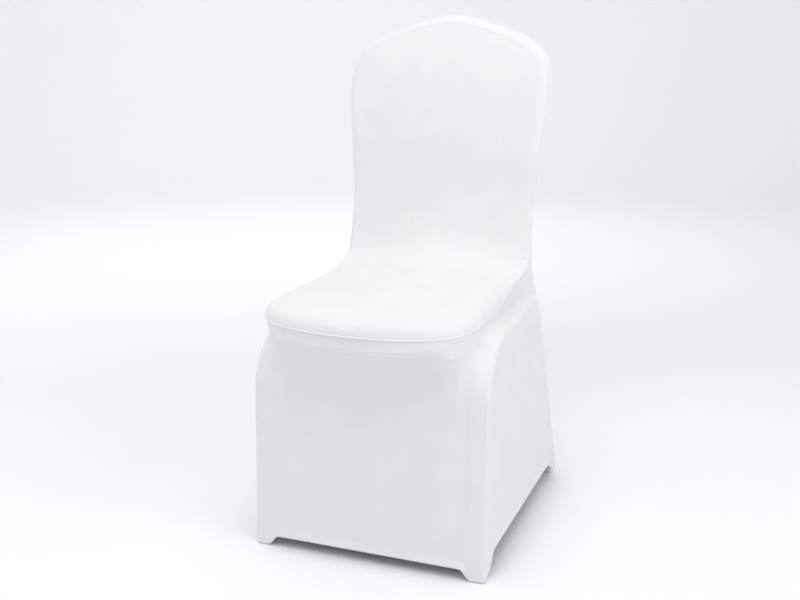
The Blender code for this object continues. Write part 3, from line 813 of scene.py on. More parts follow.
def creases(table: tuple[tuple[float, float, Table], ...]) -> tuple[Crease, ...]:
    """Creases from rows of a depth, a width and points, in millimetres; a negative depth is a raised line."""
    return tuple(
        Crease(tuple((u * MM, v * MM) for u, v in points), depth * MM, width * MM)
        for depth, width, points in table
    )


# Tension lines of the inside back: depth, width, then points across and along the cloth, up the back negative
BACK_CREASES = creases(
    (
        (0.30, 3.5, ((-120, -299), (-144, -205), (-155, -183))),
        (0.42, 3.0, ((-90, -303), (-104, -244))),
        (0.40, 3.5, ((-112, -215), (-133, -92), (-146, -42))),
        (0.36, 3.5, ((-82, -268), (-72, -179), (-52, -67), (-46, -24))),
        (0.36, 3.0, ((-22, -276), (-30, -222))),
        (0.36, 3.0, ((-13, -294), (-3, -267), (-7, -201), (-8, -179))),
        (0.42, 3.2, ((10, -238), (13, -201), (5, -172), (11, -124), (18, -41))),
        (0.34, 3.0, ((38, -352), (24, -330), (28, -308), (29, -259))),
        (0.36, 3.0, ((48, -286), (46, -243))),
        (0.38, 3.2, ((66, -297), (74, -202), (87, -126))),
        (0.38, 3.2, ((101, -147), (100, -49))),
        (0.42, 3.5, ((111, -291), (127, -206), (139, -158), (167, -86))),
        (0.34, 3.2, ((145, -272), (166, -229), (166, -209))),
        (0.30, 4.0, ((160, -307), (186, -279))),
        (0.30, 3.0, ((50, -86), (60, -53))),
        (0.34, 3.0, ((-13, -90), (1, -30), (-4, -11))),
        (0.30, 5.0, ((-135, -397), (-166, -340))),
        (0.22, 4.5, ((29, -222), (27, -124))),
        (0.22, 5.0, ((58, -220), (58, -136))),
        (0.22, 5.0, ((-43, -221), (-31, -143))),
        (0.22, 4.5, ((-100, -160), (-103, -68))),
        (0.26, 4.5, ((157, -181), (176, -106))),
        (0.26, 4.0, ((139, -103), (158, -57))),
    )
)
# Creases of the skirt: depth, width, then points round from the right rear seam and down the cloth
SKIRT_CREASES = creases(
    (
        (1.10, 5.0, ((718, 138), (702, 156))),
        (0.40, 4.0, ((567, 171), (524, 149), (478, 121))),
        (0.34, 4.0, ((551, 190), (482, 144))),
        (0.34, 3.0, ((448, 135), (431, 175))),
        (0.28, 4.0, ((770, 223), (732, 232))),
        (-0.45, 2.5, ((745, 84), (716, 89))),
        (-0.45, 2.5, ((485, 76), (472, 82))),
        (0.40, 2.5, ((438, 19), (429, 46))),
        (0.34, 2.5, ((464, 44), (449, 32), (441, 32))),
        (0.34, 3.0, ((439, 97), (416, 161))),
        (0.30, 3.5, ((450, 138), (412, 231))),
        (0.26, 5.0, ((355, 232), (352, 401))),
        (0.26, 6.0, ((298, 216), (319, 363))),
        (0.22, 6.0, ((238, 196), (269, 317))),
        (0.22, 4.0, ((420, 158), (416, 316))),
        (0.26, 5.5, ((905, 236), (909, 398))),
        (0.24, 6.0, ((968, 214), (951, 350))),
        (0.30, 3.0, ((812, 104), (835, 166))),
    )
)
# Tension lines of the rear: depth, width, then points across and above the floor
REAR_CREASES = creases(
    (
        (0.30, 4.0, ((-112, 596), (-121, 452))),
        (0.26, 4.0, ((-58, 655), (-51, 486))),
        (0.32, 3.5, ((4, 690), (-3, 600), (2, 470))),
        (0.28, 4.0, ((66, 640), (73, 498))),
        (0.30, 4.0, ((118, 610), (129, 461))),
        (0.26, 6.0, ((-30, 428), (-22, 270))),
        (0.24, 6.0, ((92, 418), (101, 300))),
    )
)


@dataclass
class SeatBackPanel:
    """The one cloth over the inside back and the seat."""

    shop: Workshop
    thick: float = 1.0 * MM
    seam_gap: float = 0.4 * MM
    lip: float = 2.2 * MM
    rings: int = 12
    seat_edge_before: float = 0.05
    seat_edge_span: float = 0.16
    edge_cloth: float = 1.4
    flat: tuple[float, float] = (0.37, 0.85)
    cut_area: float = 0.285

    def surface(self) -> Surface:
        """The outer face: a grid over the flat of the sheet, then rows that roll over to the seam."""
        chair, lines = self.shop.chair, self.shop.seam
        half = lines.whole_half()
        run = lines.runs(half)
        rounding = chair.back_thick(half[:, 2]) * chair.rounding
        on_seat = smooth_step((run + self.seat_edge_before) / self.seat_edge_span)
        inset = rounding + (chair.seat_rounding - rounding) * on_seat
        loop = mirrored_loop(np.column_stack([half, run, inset]))
        inner = inset_outline(loop[:, [0, 3]], loop[:, 4])
        inward = chair.inward(inner[:, 1], chair.fillet_side)
        seam = loop[:, :3] - inward * self.seam_gap / 2

        columns = 2 * lines.crown_steps + 1
        rows = len(half) - 2 * lines.crown_steps
        rim = grid_rim(rows, columns)
        flat = np.zeros((rows * columns, 2))
        flat[rim] = inner
        flat = filled(flat.reshape(rows, columns, 2)).reshape(-1, 2)
        face = self.dressed(flat)
        rings = quarter_turn(seam, face[rim], inward, self.rings, self.lip)
        edge = rolled_faces(rim, rows * columns, len(rings), closed=True)
        out = unit(loop[:, [0, 3]] - inner)
        width = loop[:, 4][None, :, None] * self.edge_cloth
        steps = np.linspace(0, 1, len(rings) + 1)[1:, None, None] * width
        cloth = np.concatenate([flat, (inner + out * steps).reshape(-1, 2)])
        faces = np.concatenate([grid_faces(rows, columns), edge])
        return Surface(np.concatenate([face, *rings]), faces, cloth)

    def dressed(self, flat: Array) -> Array:
        """The face with its creases: pressed in along the face's inward direction."""
        chair = self.shop.chair
        face = chair.seat_back_face(flat[:, 0], flat[:, 1])
        depth = pressed(BACK_CREASES, flat)
        return face + chair.inward(flat[:, 1], chair.fillet(flat[:, 0])) * depth[:, None]

    def build(self) -> bpy.types.Object:
        piece = self.shop.make("seat_back_cloth", self.surface(), self.shop.knit)
        self.shop.thicken(piece, self.thick)
        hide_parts("seat_back_panel")
        return piece


@dataclass
class Skirt:
    """The one cloth over the two sides and the front, from the seat's seam to its hem."""

    shop: Workshop
    thick: float = 1.0 * MM
    hem_thick: float = 2.4 * MM
    hem_depth: float = 14 * MM
    foot_clear: float = 1.8 * MM
    rear_foot_clear: float = 12 * MM
    foot_blend: tuple[float, float] = (0.25, 0.5)
    front_hem_z: float = 0.0205
    side_hem_z: float = 0.0365
    hem_flare: float = 3.5 * MM
    hem_at_leg: tuple[float, float] = (24 * MM, 22 * MM)
    seam_gap: float = 0.4 * MM
    seam_step: float = 1.2 * MM
    ridge_round: float = 8 * MM
    ridge_reach: int = 6
    tuck: float = 0.040
    tuck_round: float = 0.006
    web_set_in: float = 1.6 * MM
    side_set_in: float = 4.0 * MM
    apron_rows: int = 14
    shelf_rows: int = 9
    bend_rows: int = 20
    leg_rows: int = 44
    hem_rows: int = 7
    stitch_rows: tuple[int, int] = (-7, -5)
    stitch_margin: int = 3
    ease_row: int = 6
    ease_rows: float = 22.0
    ease_column: int = 4
    ease_columns: float = 18.0
    ease_share: float = 0.8
    ease_passes: int = 10
    front_rise: tuple[float, float] = (4 * MM, 62 * MM)
    rear_rise: tuple[float, float] = (16 * MM, 42 * MM)
    side_web: tuple[float, float] = (30 * MM, 50 * MM)
    front_web: float = 12 * MM
    front_web_top: tuple[float, float] = (0.34, 0.08)
    tuck_turn: tuple[float, float] = (0.25, 0.4)
    rear_stations: float = 3.0
    pad_inset: float = 0.012
    lift_side: tuple[float, float] = (0.07, 0.09)
    lift_front: tuple[float, float] = (0.02, 0.12)
    rear_gap: float = 2.0
    seat_middle: Point = (0.0, -0.05, 0.0)
    seat_reach: float = 0.25
    coarse_side: int = 11
    coarse_front: int = 17
    side_table: tuple[float, ...] = (1.0, 0.94, 0.83, 0.71, 0.59, 0.47, 0.35, 0.235, 0.13, 0.054, 0.0152, 0.0)
    front_table: tuple[float, ...] = (
        0.0, 0.007, 0.015, 0.023, 0.031, 0.038, 0.0445, 0.0495, 0.054, 0.0675, 0.0835
    )
    flat: tuple[float, float] = (1.36, 0.43)
    cut_area: float = 0.48

    def hem_rise(self, distance: Array) -> Array:
        """Share of the hem's rise at a distance from a foot's corner: level, then a soft slope."""
        return sloped(distance, self.hem_at_leg)

    def rear_hem_z(self, from_corner: Array, middle: float) -> Array:
        """Height of the rear hem at a distance from the rear foot's corner."""
        return self.rear_foot_clear + (middle - self.rear_foot_clear) * self.hem_rise(from_corner)

    def flared(self, rise: Array) -> Array:
        """How far the turned hem stands out in each of its rows, nothing at the fold and most at the edge."""
        return self.hem_flare * rise * np.linspace(0, 1, self.hem_rows + 1)[1:, None]

    def heights(self, hem: Array) -> Array:
        """Heights of each column's points from the rail down to its own hem."""
        chair = self.shop.chair
        angles = np.radians(np.linspace(90, 0, self.bend_rows + 1))
        bend = chair.arch_z - chair.arch_r + chair.arch_r * np.sin(angles)
        top = chair.arch_z - chair.arch_r
        fold = hem + self.hem_depth
        leg = fold + (top - fold) * np.linspace(1, 0, self.leg_rows + 1)[1:, None]
        band = hem + self.hem_depth * np.linspace(1, 0, self.hem_rows + 1)[1:, None]
        return np.concatenate([np.broadcast_to(bend[:, None], (len(bend), len(hem))), leg, band])

    def side_columns(self, count: int) -> Array:
        """The side's points by row and column, from the rear seam to the front leg's edge."""
        chair = self.shop.chair
        station = np.linspace(0, self.coarse_side, count)
        share = 1 - np.interp(station, np.arange(len(self.side_table)), self.side_table)
        length = chair.rear_foot_y - chair.frame_thick / 2 - chair.front_foot_y
        from_front, from_rear = (1 - share) * length, share * length
        rise = sloped(from_front, self.front_rise) * sloped(from_rear, self.rear_rise)
        foot = self.rear_foot_clear
        foot = foot + (self.foot_clear - foot) * sloped(share, self.foot_blend)
        z = self.heights(foot + (self.side_hem_z - foot) * rise)
        x = chair.rear_leg_x(z) + (chair.ridge_x(z) - chair.rear_leg_x(z)) * share
        y = chair.side_seam_y(z) + (chair.ridge_y(z) - chair.side_seam_y(z)) * share
        below = np.minimum(chair.arch_z - z, from_front)
        below_rail, before_leg = self.side_web
        set_in = sloped(below, (chair.leg_wide, below_rail)) * sloped(from_rear, (chair.leg_wide, before_leg))
        x = x - self.side_set_in * set_in
        x[-self.hem_rows :] += self.flared(rise)
        return np.stack([x, y, z], axis=-1)

    def front_columns(self, seam: Array, pad: Array) -> Array:
        """The front, from the front leg's edge to the middle, tucked in under the pad."""
        chair = self.shop.chair
        steps = len(seam) - 1
        station = np.linspace(0, self.coarse_front, steps + 1)
        knots = len(self.front_table)
        joint = np.interp(knots, station, seam[:, 0])
        table = [*(chair.front_foot_x - np.array(self.front_table)), joint]
        near = through(tuple(enumerate(table)), station)
        leg_x = np.where(station < knots, near, seam[:, 0])
        from_leg = chair.front_foot_x - leg_x
        rise = self.hem_rise(from_leg)
        z = self.heights(self.foot_clear + (self.front_hem_z - self.foot_clear) * rise)
        front_law = np.exp(-(np.hypot(chair.pad_edge_z - z, self.tuck_round) - self.tuck_round) / self.tuck)
        side_law = 1 - np.cos(chair.arch_turn(z) * math.pi / 2)
        forward = sloped(np.linspace(0, 1, steps + 1), self.tuck_turn)
        tuck = side_law * (1 - forward) + front_law * forward
        y = chair.front_leg_y(z) + (pad[:, 1] - chair.front_leg_y(chair.pad_edge_z)) * tuck
        narrowing = chair.arch_narrowing / (chair.front_foot_x - pad[0, 0])
        x = leg_x + (pad[:, 0] - leg_x) * narrowing * chair.arch_turn(z)
        top, fade = self.front_web_top
        set_in = sloped(from_leg, (chair.leg_wide, self.front_web)) * smooth_step((top - z) / fade)
        y = y + self.web_set_in * set_in
        y[-self.hem_rows :] -= self.flared(rise)
        return np.stack([x, y, z], axis=-1)

    def rounded(self, rows: Array, corner: int) -> Array:
        """Rounds the front leg's edge: in each row a parabola takes the corner's place."""
        out = rows.copy()
        reach = self.ridge_reach
        peak = rows[:, corner : corner + 1]
        for side in (-1, 1):
            beside = rows[:, corner::side]
            distance = np.linalg.norm(beside - peak, axis=-1)
            t = np.clip(distance / self.ridge_round, 0, 1)
            here = unit(beside[:, reach : reach + 1] - peak)
            other = unit(rows[:, corner - side * reach][:, None] - peak)
            turn = (0.5 + 0.5 * t)[..., None]
            bent = peak + self.ridge_round * (here * turn**2 + other * (1 - turn) ** 2)
            near = (distance < self.ridge_round)[..., None]
            out[:, corner::side] = np.where(near, bent, beside)
        return out

    def eased(self, grid: Array, corner: int) -> Array:
        """Evens out the saddle between the pad's edge, the rail's end and the bend of the side frame.

        Args:
            grid: points of the right half by row and column.
            corner: the column on the leg's edge.

        Returns:
            The grid with each point of the saddle moved towards the mean of its four neighbours.
        """
        rows, columns = grid.shape[:2]
        row = np.arange(rows)[:, None] - (self.apron_rows + self.shelf_rows + self.ease_row)
        column = np.arange(columns)[None, :] - (corner + self.ease_column)
        near = np.hypot(row / self.ease_rows, column / self.ease_columns)
        share = (self.ease_share * (1 - smooth_step(2 * near - 1)))[1:-1, 1:-1, None]
        out = grid.copy()
        for _ in range(self.ease_passes):
            mean = (out[:-2, 1:-1] + out[2:, 1:-1] + out[1:-1, :-2] + out[1:-1, 2:]) / 4
            out[1:-1, 1:-1] += (mean - out[1:-1, 1:-1]) * share
        return out

    def half(self) -> Array:
        """Points of the right half, rows from seam to hem, columns from the rear seam to the middle."""
        chair, lines = self.shop.chair, self.shop.seam
        seam = lines.junction_to_front()
        whole = lines.whole_half()
        inward = chair.inward(lines.runs(whole)[-len(seam) :], chair.fillet_side)
        station = np.arange(len(seam)) * self.coarse_side / lines.side_steps
        rear = 1 - smooth_step(station / self.rear_stations)
        middle = np.array(self.seat_middle) - seam
        pad = seam + middle * self.pad_inset
        pad[:, 0] += (chair.rear_leg_x(chair.pad_edge_z) - pad[:, 0]) * rear
        pad[:, 1] += (chair.side_seam_y(chair.pad_edge_z) - pad[:, 1]) * rear
        lift_to, lift_span = self.lift_front
        corner = sloped(np.abs(seam[:, 0]), self.lift_side) * smooth_step((lift_to - seam[:, 1]) / lift_span)
        pad[:, 2] = chair.pad_edge_z + chair.pad_edge_lift * corner
        top = seam + inward * self.seam_gap * (0.5 + self.rear_gap * rear[:, None])
        top = top + middle * [1, 1, 0] / self.seat_reach * self.seam_step * (1 - rear)[:, None]
        down = np.linspace(0, 1, self.apron_rows + 1)[:, None, None]
        apron = top + (pad - top) * down
        apron[:, 0, 0] = chair.rear_leg_x(apron[:, 0, 2])
        apron[:, 0, 1] = chair.side_seam_y(apron[:, 0, 2])
        side = self.side_columns(lines.side_steps + 1)
        front = self.front_columns(seam[lines.side_steps :], pad[lines.side_steps :])
        below = np.concatenate([side, front[:, 1:]], axis=1)
        rail = below[0]
        outward = np.linspace(0, 1, self.shelf_rows + 1)[1:-1, None]
        shelf = rail + (pad - rail) * smooth_step(1 - outward)[..., None]
        shelf[..., 2] = pad[:, 2] + (rail[:, 2] - pad[:, 2]) * outward
        below = self.rounded(below, lines.side_steps)
        return self.eased(np.concatenate([apron, shelf, below]), lines.side_steps)

    def grid(self) -> Array:
        """The whole sheet's outer face, from the right rear seam round the front to the left one."""
        right = self.half()
        right[:, 0, 1] -= self.seam_gap
        left = right[:, -2::-1] * [-1, 1, 1]
        left[..., 0] -= self.shop.chair.flare(left[..., 1], left[..., 2])
        return np.concatenate([right, left], axis=1)

    def build(self) -> tuple[bpy.types.Object, Array]:
        """Returns:
            The piece, and the grid of its outer face for the pieces that are sewn on it.
        """
        grid = self.grid()
        rows, columns = grid.shape[:2]
        across = arc_length(grid[rows // 2])
        down = np.cumsum(np.linalg.norm(np.diff(grid, axis=0, prepend=grid[:1]), axis=2), axis=0)
        cloth = np.stack([np.broadcast_to(across, (rows, columns)), down], axis=-1)
        normals = -grid_normals(grid)
        depth = pressed(SKIRT_CREASES, cloth)
        grid = grid - normals * depth[..., None]
        faces = grid_faces(rows, columns)[:, ::-1]
        surface = Surface(grid.reshape(-1, 3), faces, cloth.reshape(-1, 2))
        piece = self.shop.make("skirt_cloth", surface, self.shop.knit)
        weights = np.full((rows, columns), self.thick / self.hem_thick)
        weights[-self.hem_rows :] = 1.0
        self.shop.thicken(piece, self.hem_thick, weights.reshape(-1))
        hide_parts("skirt")
        return piece, grid


@dataclass
class RearPanel:
    """The one cloth over the rear of the back and the rear legs, down to its hem."""

    shop: Workshop
    skirt: Skirt
    thick: float = 1.0 * MM
    lip: float = 2.2 * MM
    rings: int = 9
    edge_cloth: float = 0.02
    stitch_reach: float = 16 * MM
    stitch_points: int = 200
    stitch_up: tuple[float, float] = (12 * MM, 8 * MM)
    stitch_normal: Point = (0.0, 1.0, 0.3)
    hem_z: float = 0.022
    flat: tuple[float, float] = (0.42, 0.90)
    cut_area: float = 0.33

    def hem_line(self, up: float) -> tuple[Array, Array]:
        """The line that runs this far above the hem's edge, and the cloth's normal along it."""
        chair = self.shop.chair
        reach = chair.rear_foot_x - self.stitch_reach
        x = np.linspace(-reach, reach, self.stitch_points)
        z = self.skirt.rear_hem_z(chair.rear_foot_x - np.abs(x), self.hem_z) + up
        return np.stack([x, chair.rear_face_y(z), z], axis=1), np.tile(self.stitch_normal, (len(x), 1))

    def build(self, leg: Array) -> bpy.types.Object:
        """Args:
            leg: the seam down the right rear leg, from under the seat's junction to the hem.

        Returns:
            The piece.
        """
        chair, lines = self.shop.chair, self.shop.seam
        hem = self.skirt
        half = np.concatenate([lines.crown_to_junction(), leg])
        chain = np.concatenate([half[:0:-1] * [-1, 1, 1], half])
        inward = np.array([0.0, -1.0, 0.0])
        seam = chain - inward * hem.seam_gap / 2
        ahead = np.gradient(chain[:, [0, 2]], axis=0)
        normal = unit(np.stack([ahead[:, 1], -ahead[:, 0]], axis=1))
        inner = chain[:, [0, 2]] + normal * (chair.back_thick(chain[:, 2]) * chair.rounding)[:, None]
        inner[[0, -1], 1] = chain[[0, -1], 2]

        columns = 2 * lines.crown_steps + 1
        rows = len(half) - lines.crown_steps
        grid = np.zeros((rows, columns, 2))
        index = np.arange(rows * columns).reshape(rows, columns)
        rim = np.concatenate([index[:0:-1, 0], index[0], index[1:, -1]])
        grid.reshape(-1, 2)[rim] = inner
        hem_x = np.linspace(inner[0, 0], inner[-1, 0], columns)
        hem_z = hem.rear_hem_z(chair.rear_foot_x - np.abs(hem_x), self.hem_z)
        grid[-1] = np.stack([hem_x, hem_z], axis=1)
        grid = filled(grid)
        depth = chair.rear_face_y(grid[..., 1]) - pressed(REAR_CREASES, grid)
        face = np.stack([grid[..., 0], depth, grid[..., 1]], axis=-1)
        spread = np.broadcast_to(inward, (len(chain), 3))
        rings = quarter_turn(seam, face.reshape(-1, 3)[rim], spread, self.rings, self.lip)
        edge = rolled_faces(rim, rows * columns, len(rings), closed=False)
        out = unit(chain[:, [0, 2]] - inner)
        steps = np.linspace(0, 1, len(rings) + 1)[1:, None, None] * self.edge_cloth
        cloth = np.concatenate([grid.reshape(-1, 2), (inner + out * steps).reshape(-1, 2)])
        points = np.concatenate([face.reshape(-1, 3), *rings])
        faces = np.concatenate([grid_faces(rows, columns), edge])
        surface = Surface(points, faces[:, ::-1], cloth)
        piece = self.shop.make("rear_cloth", surface, self.shop.knit)
        above = points[:, 2] - hem.rear_hem_z(chair.rear_foot_x - np.abs(points[:, 0]), self.hem_z)
        weights = np.where(above < hem.hem_depth, 1.0, self.thick / hem.hem_thick)
        self.shop.thicken(piece, hem.hem_thick, weights)
        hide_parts("rear_panel")
        return piece


@dataclass
class FootPocket:
    """A small open-topped pocket inside one lower corner, over a chair's foot."""

    shop: Workshop
    name: str
    side: int
    rear: bool
    wide: float = 0.025
    tall: float = 0.034
    squareness: float = 0.5
    crumple: float = 0.5 * MM
    crumple_waves: int = 3
    crumple_rise: float = 4 * MM
    crumple_from: float = 12 * MM
    thick: float = 1.0 * MM
    clear: float = 0.6 * MM
    rear_clear: float = 2.5 * MM
    hem_thick: float = 2.6 * MM
    rows: int = 14
    around: int = 64
    sole_shares: tuple[float, ...] = (0.25, 0.5, 0.75, 0.93)
    edge_round: float = 0.3 * MM
    flat: tuple[float, float] = (0.086, 0.056)
    cut_area: float = 0.0034

    def centre(self, z: Array) -> Array:
        """Middle of the pocket at each height, in the leg's corner."""
        chair = self.shop.chair
        inside = self.hem_thick + (self.rear_clear if self.rear else self.clear) + self.wide / 2
        if self.rear:
            x, y = chair.rear_leg_x(z) - inside, chair.rear_face_y(z) - inside
        else:
            x, y = chair.ridge_x(z) - inside, chair.front_leg_y(z) + inside
        out = chair.flare(y, z) if self.side < 0 else 0.0
        return np.stack([self.side * (x + out), y, z], axis=-1)

    def surface(self) -> Surface:
        """Rounded square rings up the wall, and the same ring shrunk towards the middle of the sole."""
        angle = np.linspace(0, 2 * math.pi, self.around, endpoint=False)
        round_one = np.stack([np.cos(angle), np.sin(angle)], axis=1)
        square = np.sign(round_one) * np.abs(round_one) ** self.squareness * self.wide / 2
        z = np.linspace(0, self.tall, self.rows)
        wave = np.sin(self.crumple_waves * angle + z[:, None] / self.crumple_rise)
        inwards = self.crumple * wave * smooth_step(z / self.crumple_from)[:, None]
        wall = np.zeros((self.rows, self.around, 3))
        wall[..., :2] = square * (1 - inwards / (self.wide / 2))[..., None]
        wall = wall + self.centre(z)[:, None, :]
        base = self.centre(np.zeros(1))[0]
        sole = [base + np.column_stack([square * share, np.zeros(self.around)]) for share in self.sole_shares]
        wall[0, :, 2] = self.edge_round
        rings = np.concatenate([np.stack(sole), wall])
        walls = tube_faces(len(rings), self.around)
        even, odd = np.arange(0, self.around, 2), np.arange(1, self.around, 2)
        tip = np.full(len(even), len(rings) * self.around)
        middle = np.stack([tip, np.roll(even, -1), odd, even], axis=1)
        points = np.concatenate([rings.reshape(-1, 3), base[None]])
        around = np.linspace(0, 4 * self.wide, self.around)
        down = np.arange(len(rings)) * self.tall / self.rows
        cloth = np.stack(np.meshgrid(around, down), axis=-1).reshape(-1, 2)
        return Surface(points, np.concatenate([walls, middle]), np.concatenate([cloth, [[0.0, 0.0]]]))

    def build(self) -> bpy.types.Object:
        piece = self.shop.make(f"{self.name}_cloth", self.surface(), self.shop.knit)
        self.shop.thicken(piece, self.thick)
        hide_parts(self.name)
        return piece


@dataclass
class SeamCord:
    """The sewn seam between two sheets: a small soft ridge with the dimples of its stitches."""

    shop: Workshop
    radius: float = 1.5 * MM
    pitch: float = 3.0 * MM
    dimple: float = 0.18 * MM
    step: float = 1.0 * MM
    around: int = 10
    tip_radius: float = 0.02 * MM
    aside: Point = (0.03, 1.0, 0.1)

    def surface(self, path: Array, closed: bool) -> Surface:
        """A tube along the path whose radius dips at each stitch.

        Args:
            path: the seam's points.
            closed: whether the seam runs back to its start.

        Returns:
            The tube, its ends closed to a point where it isn't a loop.
        """
        line = np.concatenate([path, path[:1]]) if closed else path
        count = int(arc_length(line)[-1] / self.step)
        line = along(line, np.linspace(0, 1, count + 1))
        if closed:
            line = line[:-1]
            ahead = unit(np.roll(line, -1, axis=0) - np.roll(line, 1, axis=0))
        else:
            ahead = unit(np.gradient(line, axis=0))
        side = unit(np.cross(ahead, np.array(self.aside)))
        up = np.cross(side, ahead)
        place = np.arange(len(line)) * self.step
        radius = self.radius - self.dimple * np.abs(np.sin(math.pi * place / self.pitch)) ** 3
        if not closed:
            radius[[0, -1]] = self.tip_radius
        angle = np.linspace(0, 2 * math.pi, self.around, endpoint=False)
        ring = np.cos(angle)[None, :, None] * side[:, None] + np.sin(angle)[None, :, None] * up[:, None]
        points = line[:, None] + ring * radius[:, None, None]
        faces = tube_faces(len(line), self.around, closed)[:, ::-1]
        cloth = np.stack(np.meshgrid(angle * self.radius, place), axis=-1).reshape(-1, 2)
        return Surface(points.reshape(-1, 3), faces, cloth)


@dataclass
class Stitches:
    """A row of short stitches of sewing thread, each a bent capsule that dips into the cloth at both ends."""

    shop: Workshop
    pitch: float = 3.2 * MM
    length: float = 2.5 * MM
    radius: float = 0.22 * MM
    proud: float = 0.25 * MM
    reach: float = 0.5 * MM
    around: int = 6
    stations: tuple[float, ...] = (-1.0, -0.82, -0.4, 0.0, 0.4, 0.82, 1.0)
    fullness: tuple[float, ...] = (0.15, 0.75, 1.0, 1.0, 1.0, 0.75, 0.15)
    dip: float = 0.6

    def surface(self, path: Array, outward: Array) -> Surface:
        """The row of stitches along a path.

        Args:
            path: the sewn line on the cloth.
            outward: the cloth's normal at each point of it.

        Returns:
            All the stitches as one surface.
        """
        length = arc_length(path)
        count = int(length[-1] / self.pitch)
        place = (np.arange(count) + 0.5) * self.pitch
        before, at, after = (
            np.stack([np.interp(place + shift, length, column) for column in path.T], axis=1)
            for shift in (-self.reach, 0.0, self.reach)
        )
        normal = unit(np.stack([np.interp(place, length, column) for column in outward.T], axis=1))
        ahead = unit(after - before)
        side = np.cross(normal, ahead)
        t = np.array(self.stations)
        thick = np.array(self.fullness) * self.radius
        lift = self.proud * (1 - t**4) - self.radius * self.dip * t**4
        angle = np.linspace(0, 2 * math.pi, self.around, endpoint=False)
        along_it = t[:, None] * self.length / 2 * np.ones_like(angle)
        across = thick[:, None] * np.cos(angle)
        up = lift[:, None] + thick[:, None] * np.sin(angle)
        points = (
            at[:, None, None]
            + ahead[:, None, None] * along_it[..., None]
            + side[:, None, None] * across[..., None]
            + normal[:, None, None] * up[..., None]
        )
        # Two quads close each six-sided end
        ends = np.array([[0, 1, 2, 3], [0, 3, 4, 5]])
        last = (len(t) - 1) * self.around
        quads = np.concatenate([tube_faces(len(t), self.around), ends, (last + ends)[:, ::-1]])
        faces = (quads[None] + np.arange(count)[:, None, None] * along_it.size).reshape(-1, 4)
        return Surface(points.reshape(-1, 3), faces, points.reshape(-1, 3)[:, :2])


def joined(surfaces: list[Surface]) -> Surface:
    """Several surfaces as one."""
    starts = np.cumsum([0] + [len(surface.points) for surface in surfaces[:-1]])
    points = np.concatenate([surface.points for surface in surfaces])
    faces = np.concatenate([surface.faces + start for surface, start in zip(surfaces, starts)])
    return Surface(points, faces, np.concatenate([surface.cloth for surface in surfaces]))


@dataclass(frozen=True)
class SoftLight:
    """A square white light: its place above the floor, the point it shines at, its side and its watts."""

    name: str
    at: Point
    towards: Point
    size: float
    power: float


CHAIR_MIDDLE = (0.0, 0.0, 0.4)
LIGHTS = (
    SoftLight("overhead", (0.3, -0.9, 2.9), CHAIR_MIDDLE, 2.4, 20.5),
    SoftLight("rear_top", (-0.2, 0.7, 3.0), CHAIR_MIDDLE, 2.0, 8.0),
    SoftLight("front_high", (0.2, -2.6, 2.6), CHAIR_MIDDLE, 2.0, 15.0),
    SoftLight("right", (2.4, -0.6, 1.7), CHAIR_MIDDLE, 1.6, 19.5),
    SoftLight("left", (-2.4, -0.6, 1.7), CHAIR_MIDDLE, 1.6, 12.0),
    SoftLight("backdrop", (0.4, 2.2, 2.6), (0.4, 6.0, 0.9), 2.4, 12.0),
    SoftLight("backdrop_left", (-1.4, 1.6, 2.8), (-3.6, 5.0, 1.0), 2.4, 42.0),
)


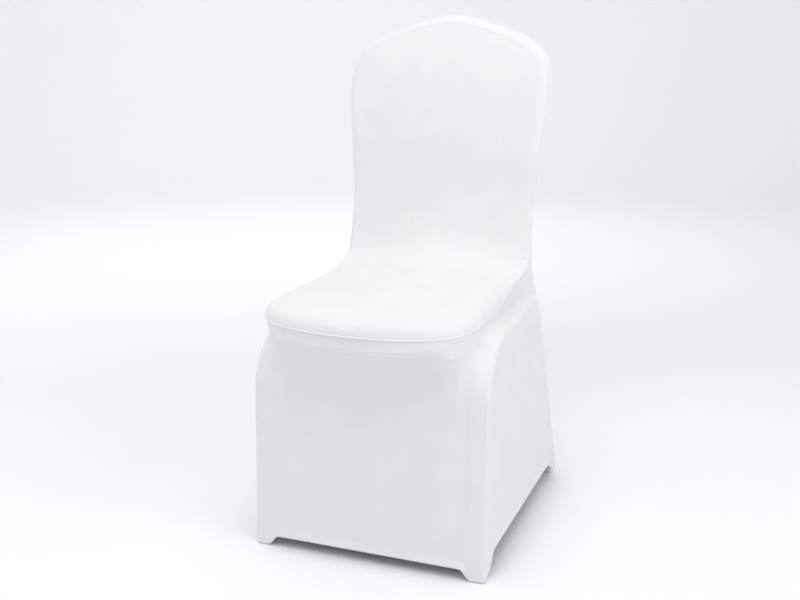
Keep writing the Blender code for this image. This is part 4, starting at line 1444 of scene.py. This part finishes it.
@dataclass
class Studio:
    """A pale seamless stage, soft lights, and the camera of the photograph."""

    origin: Array
    floor: bpy.types.Material
    camera_at: tuple[float, float, float] = (0.646750, -1.804411, 0.909399)
    looks_at: tuple[float, float, float] = (-0.0312329, 0.0, 0.4127374)
    lens: float = 47.687
    sensor: float = 36.0
    inner_radius: float = 0.01
    level_radius: float = 4.2
    level_rings: int = 11
    bend: float = 2.0
    bend_rings: int = 24
    wall: float = 4.5
    around: int = 96
    sky_colour: str = "FDFDFF"
    sky_strength: float = 0.53

    def build_stage(self) -> bpy.types.Object:
        """A round floor whose rim bends up into a wall: a profile turned about the middle."""
        steps = np.linspace(0, math.pi / 2, self.bend_rings)
        level = np.linspace(self.inner_radius, self.level_radius, self.level_rings + 1)[:-1]
        bent = self.level_radius + self.bend * np.sin(steps)
        radius = np.concatenate([level, bent, bent[-1:]])[:, None]
        height = np.concatenate([0 * level, self.bend * (1 - np.cos(steps)), [self.wall]])[:, None]
        angle = np.linspace(0, 2 * math.pi, self.around, endpoint=False)
        turned = np.broadcast_arrays(radius * np.cos(angle), radius * np.sin(angle), height)
        points = np.stack(turned, axis=-1).reshape(-1, 3) - self.origin
        mesh = bpy.data.meshes.new("studio_floor")
        mesh.from_pydata(points.tolist(), [], tube_faces(len(radius), self.around).tolist())
        mesh.shade_smooth()
        mesh.materials.append(self.floor)
        stage = bpy.data.objects.new("studio_floor", mesh)
        bpy.context.scene.collection.objects.link(stage)
        return stage

    def aimed(self, name: str, data: bpy.types.ID, at: Point, towards: Point) -> bpy.types.Object:
        """Adds a light or a camera.

        Args:
            name: its name.
            data: the light's or the camera's own data.
            at: where it stands, above the floor.
            towards: the point that it is turned to.

        Returns:
            Its object.
        """
        placed = bpy.data.objects.new(name, data)
        placed.location = Vector(np.array(at) - self.origin)
        ahead = Vector(np.array(towards) - np.array(at))
        placed.rotation_mode = "QUATERNION"
        placed.rotation_quaternion = ahead.to_track_quat("-Z", "Y")
        bpy.context.scene.collection.objects.link(placed)
        return placed

    def build_camera(self) -> None:
        """The camera at the photograph's viewing angle."""
        data = bpy.data.cameras.new("camera")
        data.lens, data.sensor_width, data.sensor_fit = self.lens, self.sensor, "HORIZONTAL"
        bpy.context.scene.camera = self.aimed("camera", data, self.camera_at, self.looks_at)

    def build(self) -> None:
        """Builds the stage, the sky, the lights and the camera."""
        self.build_stage()
        world = bpy.data.worlds.new("studio_sky")
        world.use_nodes = True
        sky = world.node_tree.nodes["Background"]
        sky.inputs["Color"].default_value = linear(self.sky_colour)
        sky.inputs["Strength"].default_value = self.sky_strength
        bpy.context.scene.world = world
        bpy.context.scene.view_settings.view_transform = "Standard"
        for light in LIGHTS:
            lamp = bpy.data.lights.new(light.name, "AREA")
            lamp.size, lamp.energy = light.size, light.power
            self.aimed(light.name, lamp, light.at, light.towards)
        self.build_camera()


def main() -> None:
    """Builds the cover's pieces in the order in which they are sewn, then the studio."""
    logging.basicConfig(level=logging.INFO, format="%(name)s: %(message)s")
    chair = ChairLines()
    lines = SeamLines(chair)
    shop = Workshop(chair, lines, StretchKnit().build(), SewingThread().build(), chair.held_at())

    skirt = Skirt(shop)
    skirt_piece, skirt_grid = skirt.build()
    seat_back = SeatBackPanel(shop).build()
    leg = skirt_grid[1:, 0] + np.array([0.0, skirt.seam_gap, 0.0])
    rear = RearPanel(shop, skirt)
    rear_piece = rear.build(leg)
    made = [skirt_piece, seat_back, rear_piece]
    for end, at_rear in (("front", False), ("rear", True)):
        for hand, side in (("left", -1), ("right", 1)):
            made.append(FootPocket(shop, f"foot_pocket_{end}_{hand}", side, at_rear).build())

    cord = SeamCord(shop)
    loop = mirrored_loop(lines.whole_half())
    ridges = [cord.surface(loop, True), cord.surface(leg, False), cord.surface(leg * [-1, 1, 1], False)]
    made.append(shop.make("seam_ridge", joined(ridges), shop.thread))

    stitches = Stitches(shop)
    normals = -grid_normals(skirt_grid)
    between = slice(skirt.stitch_margin, -skirt.stitch_margin)
    sewn = [stitches.surface(skirt_grid[row, between], normals[row, between]) for row in skirt.stitch_rows]
    sewn += [stitches.surface(*rear.hem_line(up)) for up in rear.stitch_up]
    made.append(shop.make("hem_stitches", joined(sewn), shop.thread))
    for piece in made:
        log.info("%s: %d faces", piece.name, len(piece.data.polygons))

    Studio(chair.held_at(), PaleFloor().build()).build()


if __name__ == "__main__":
    main()
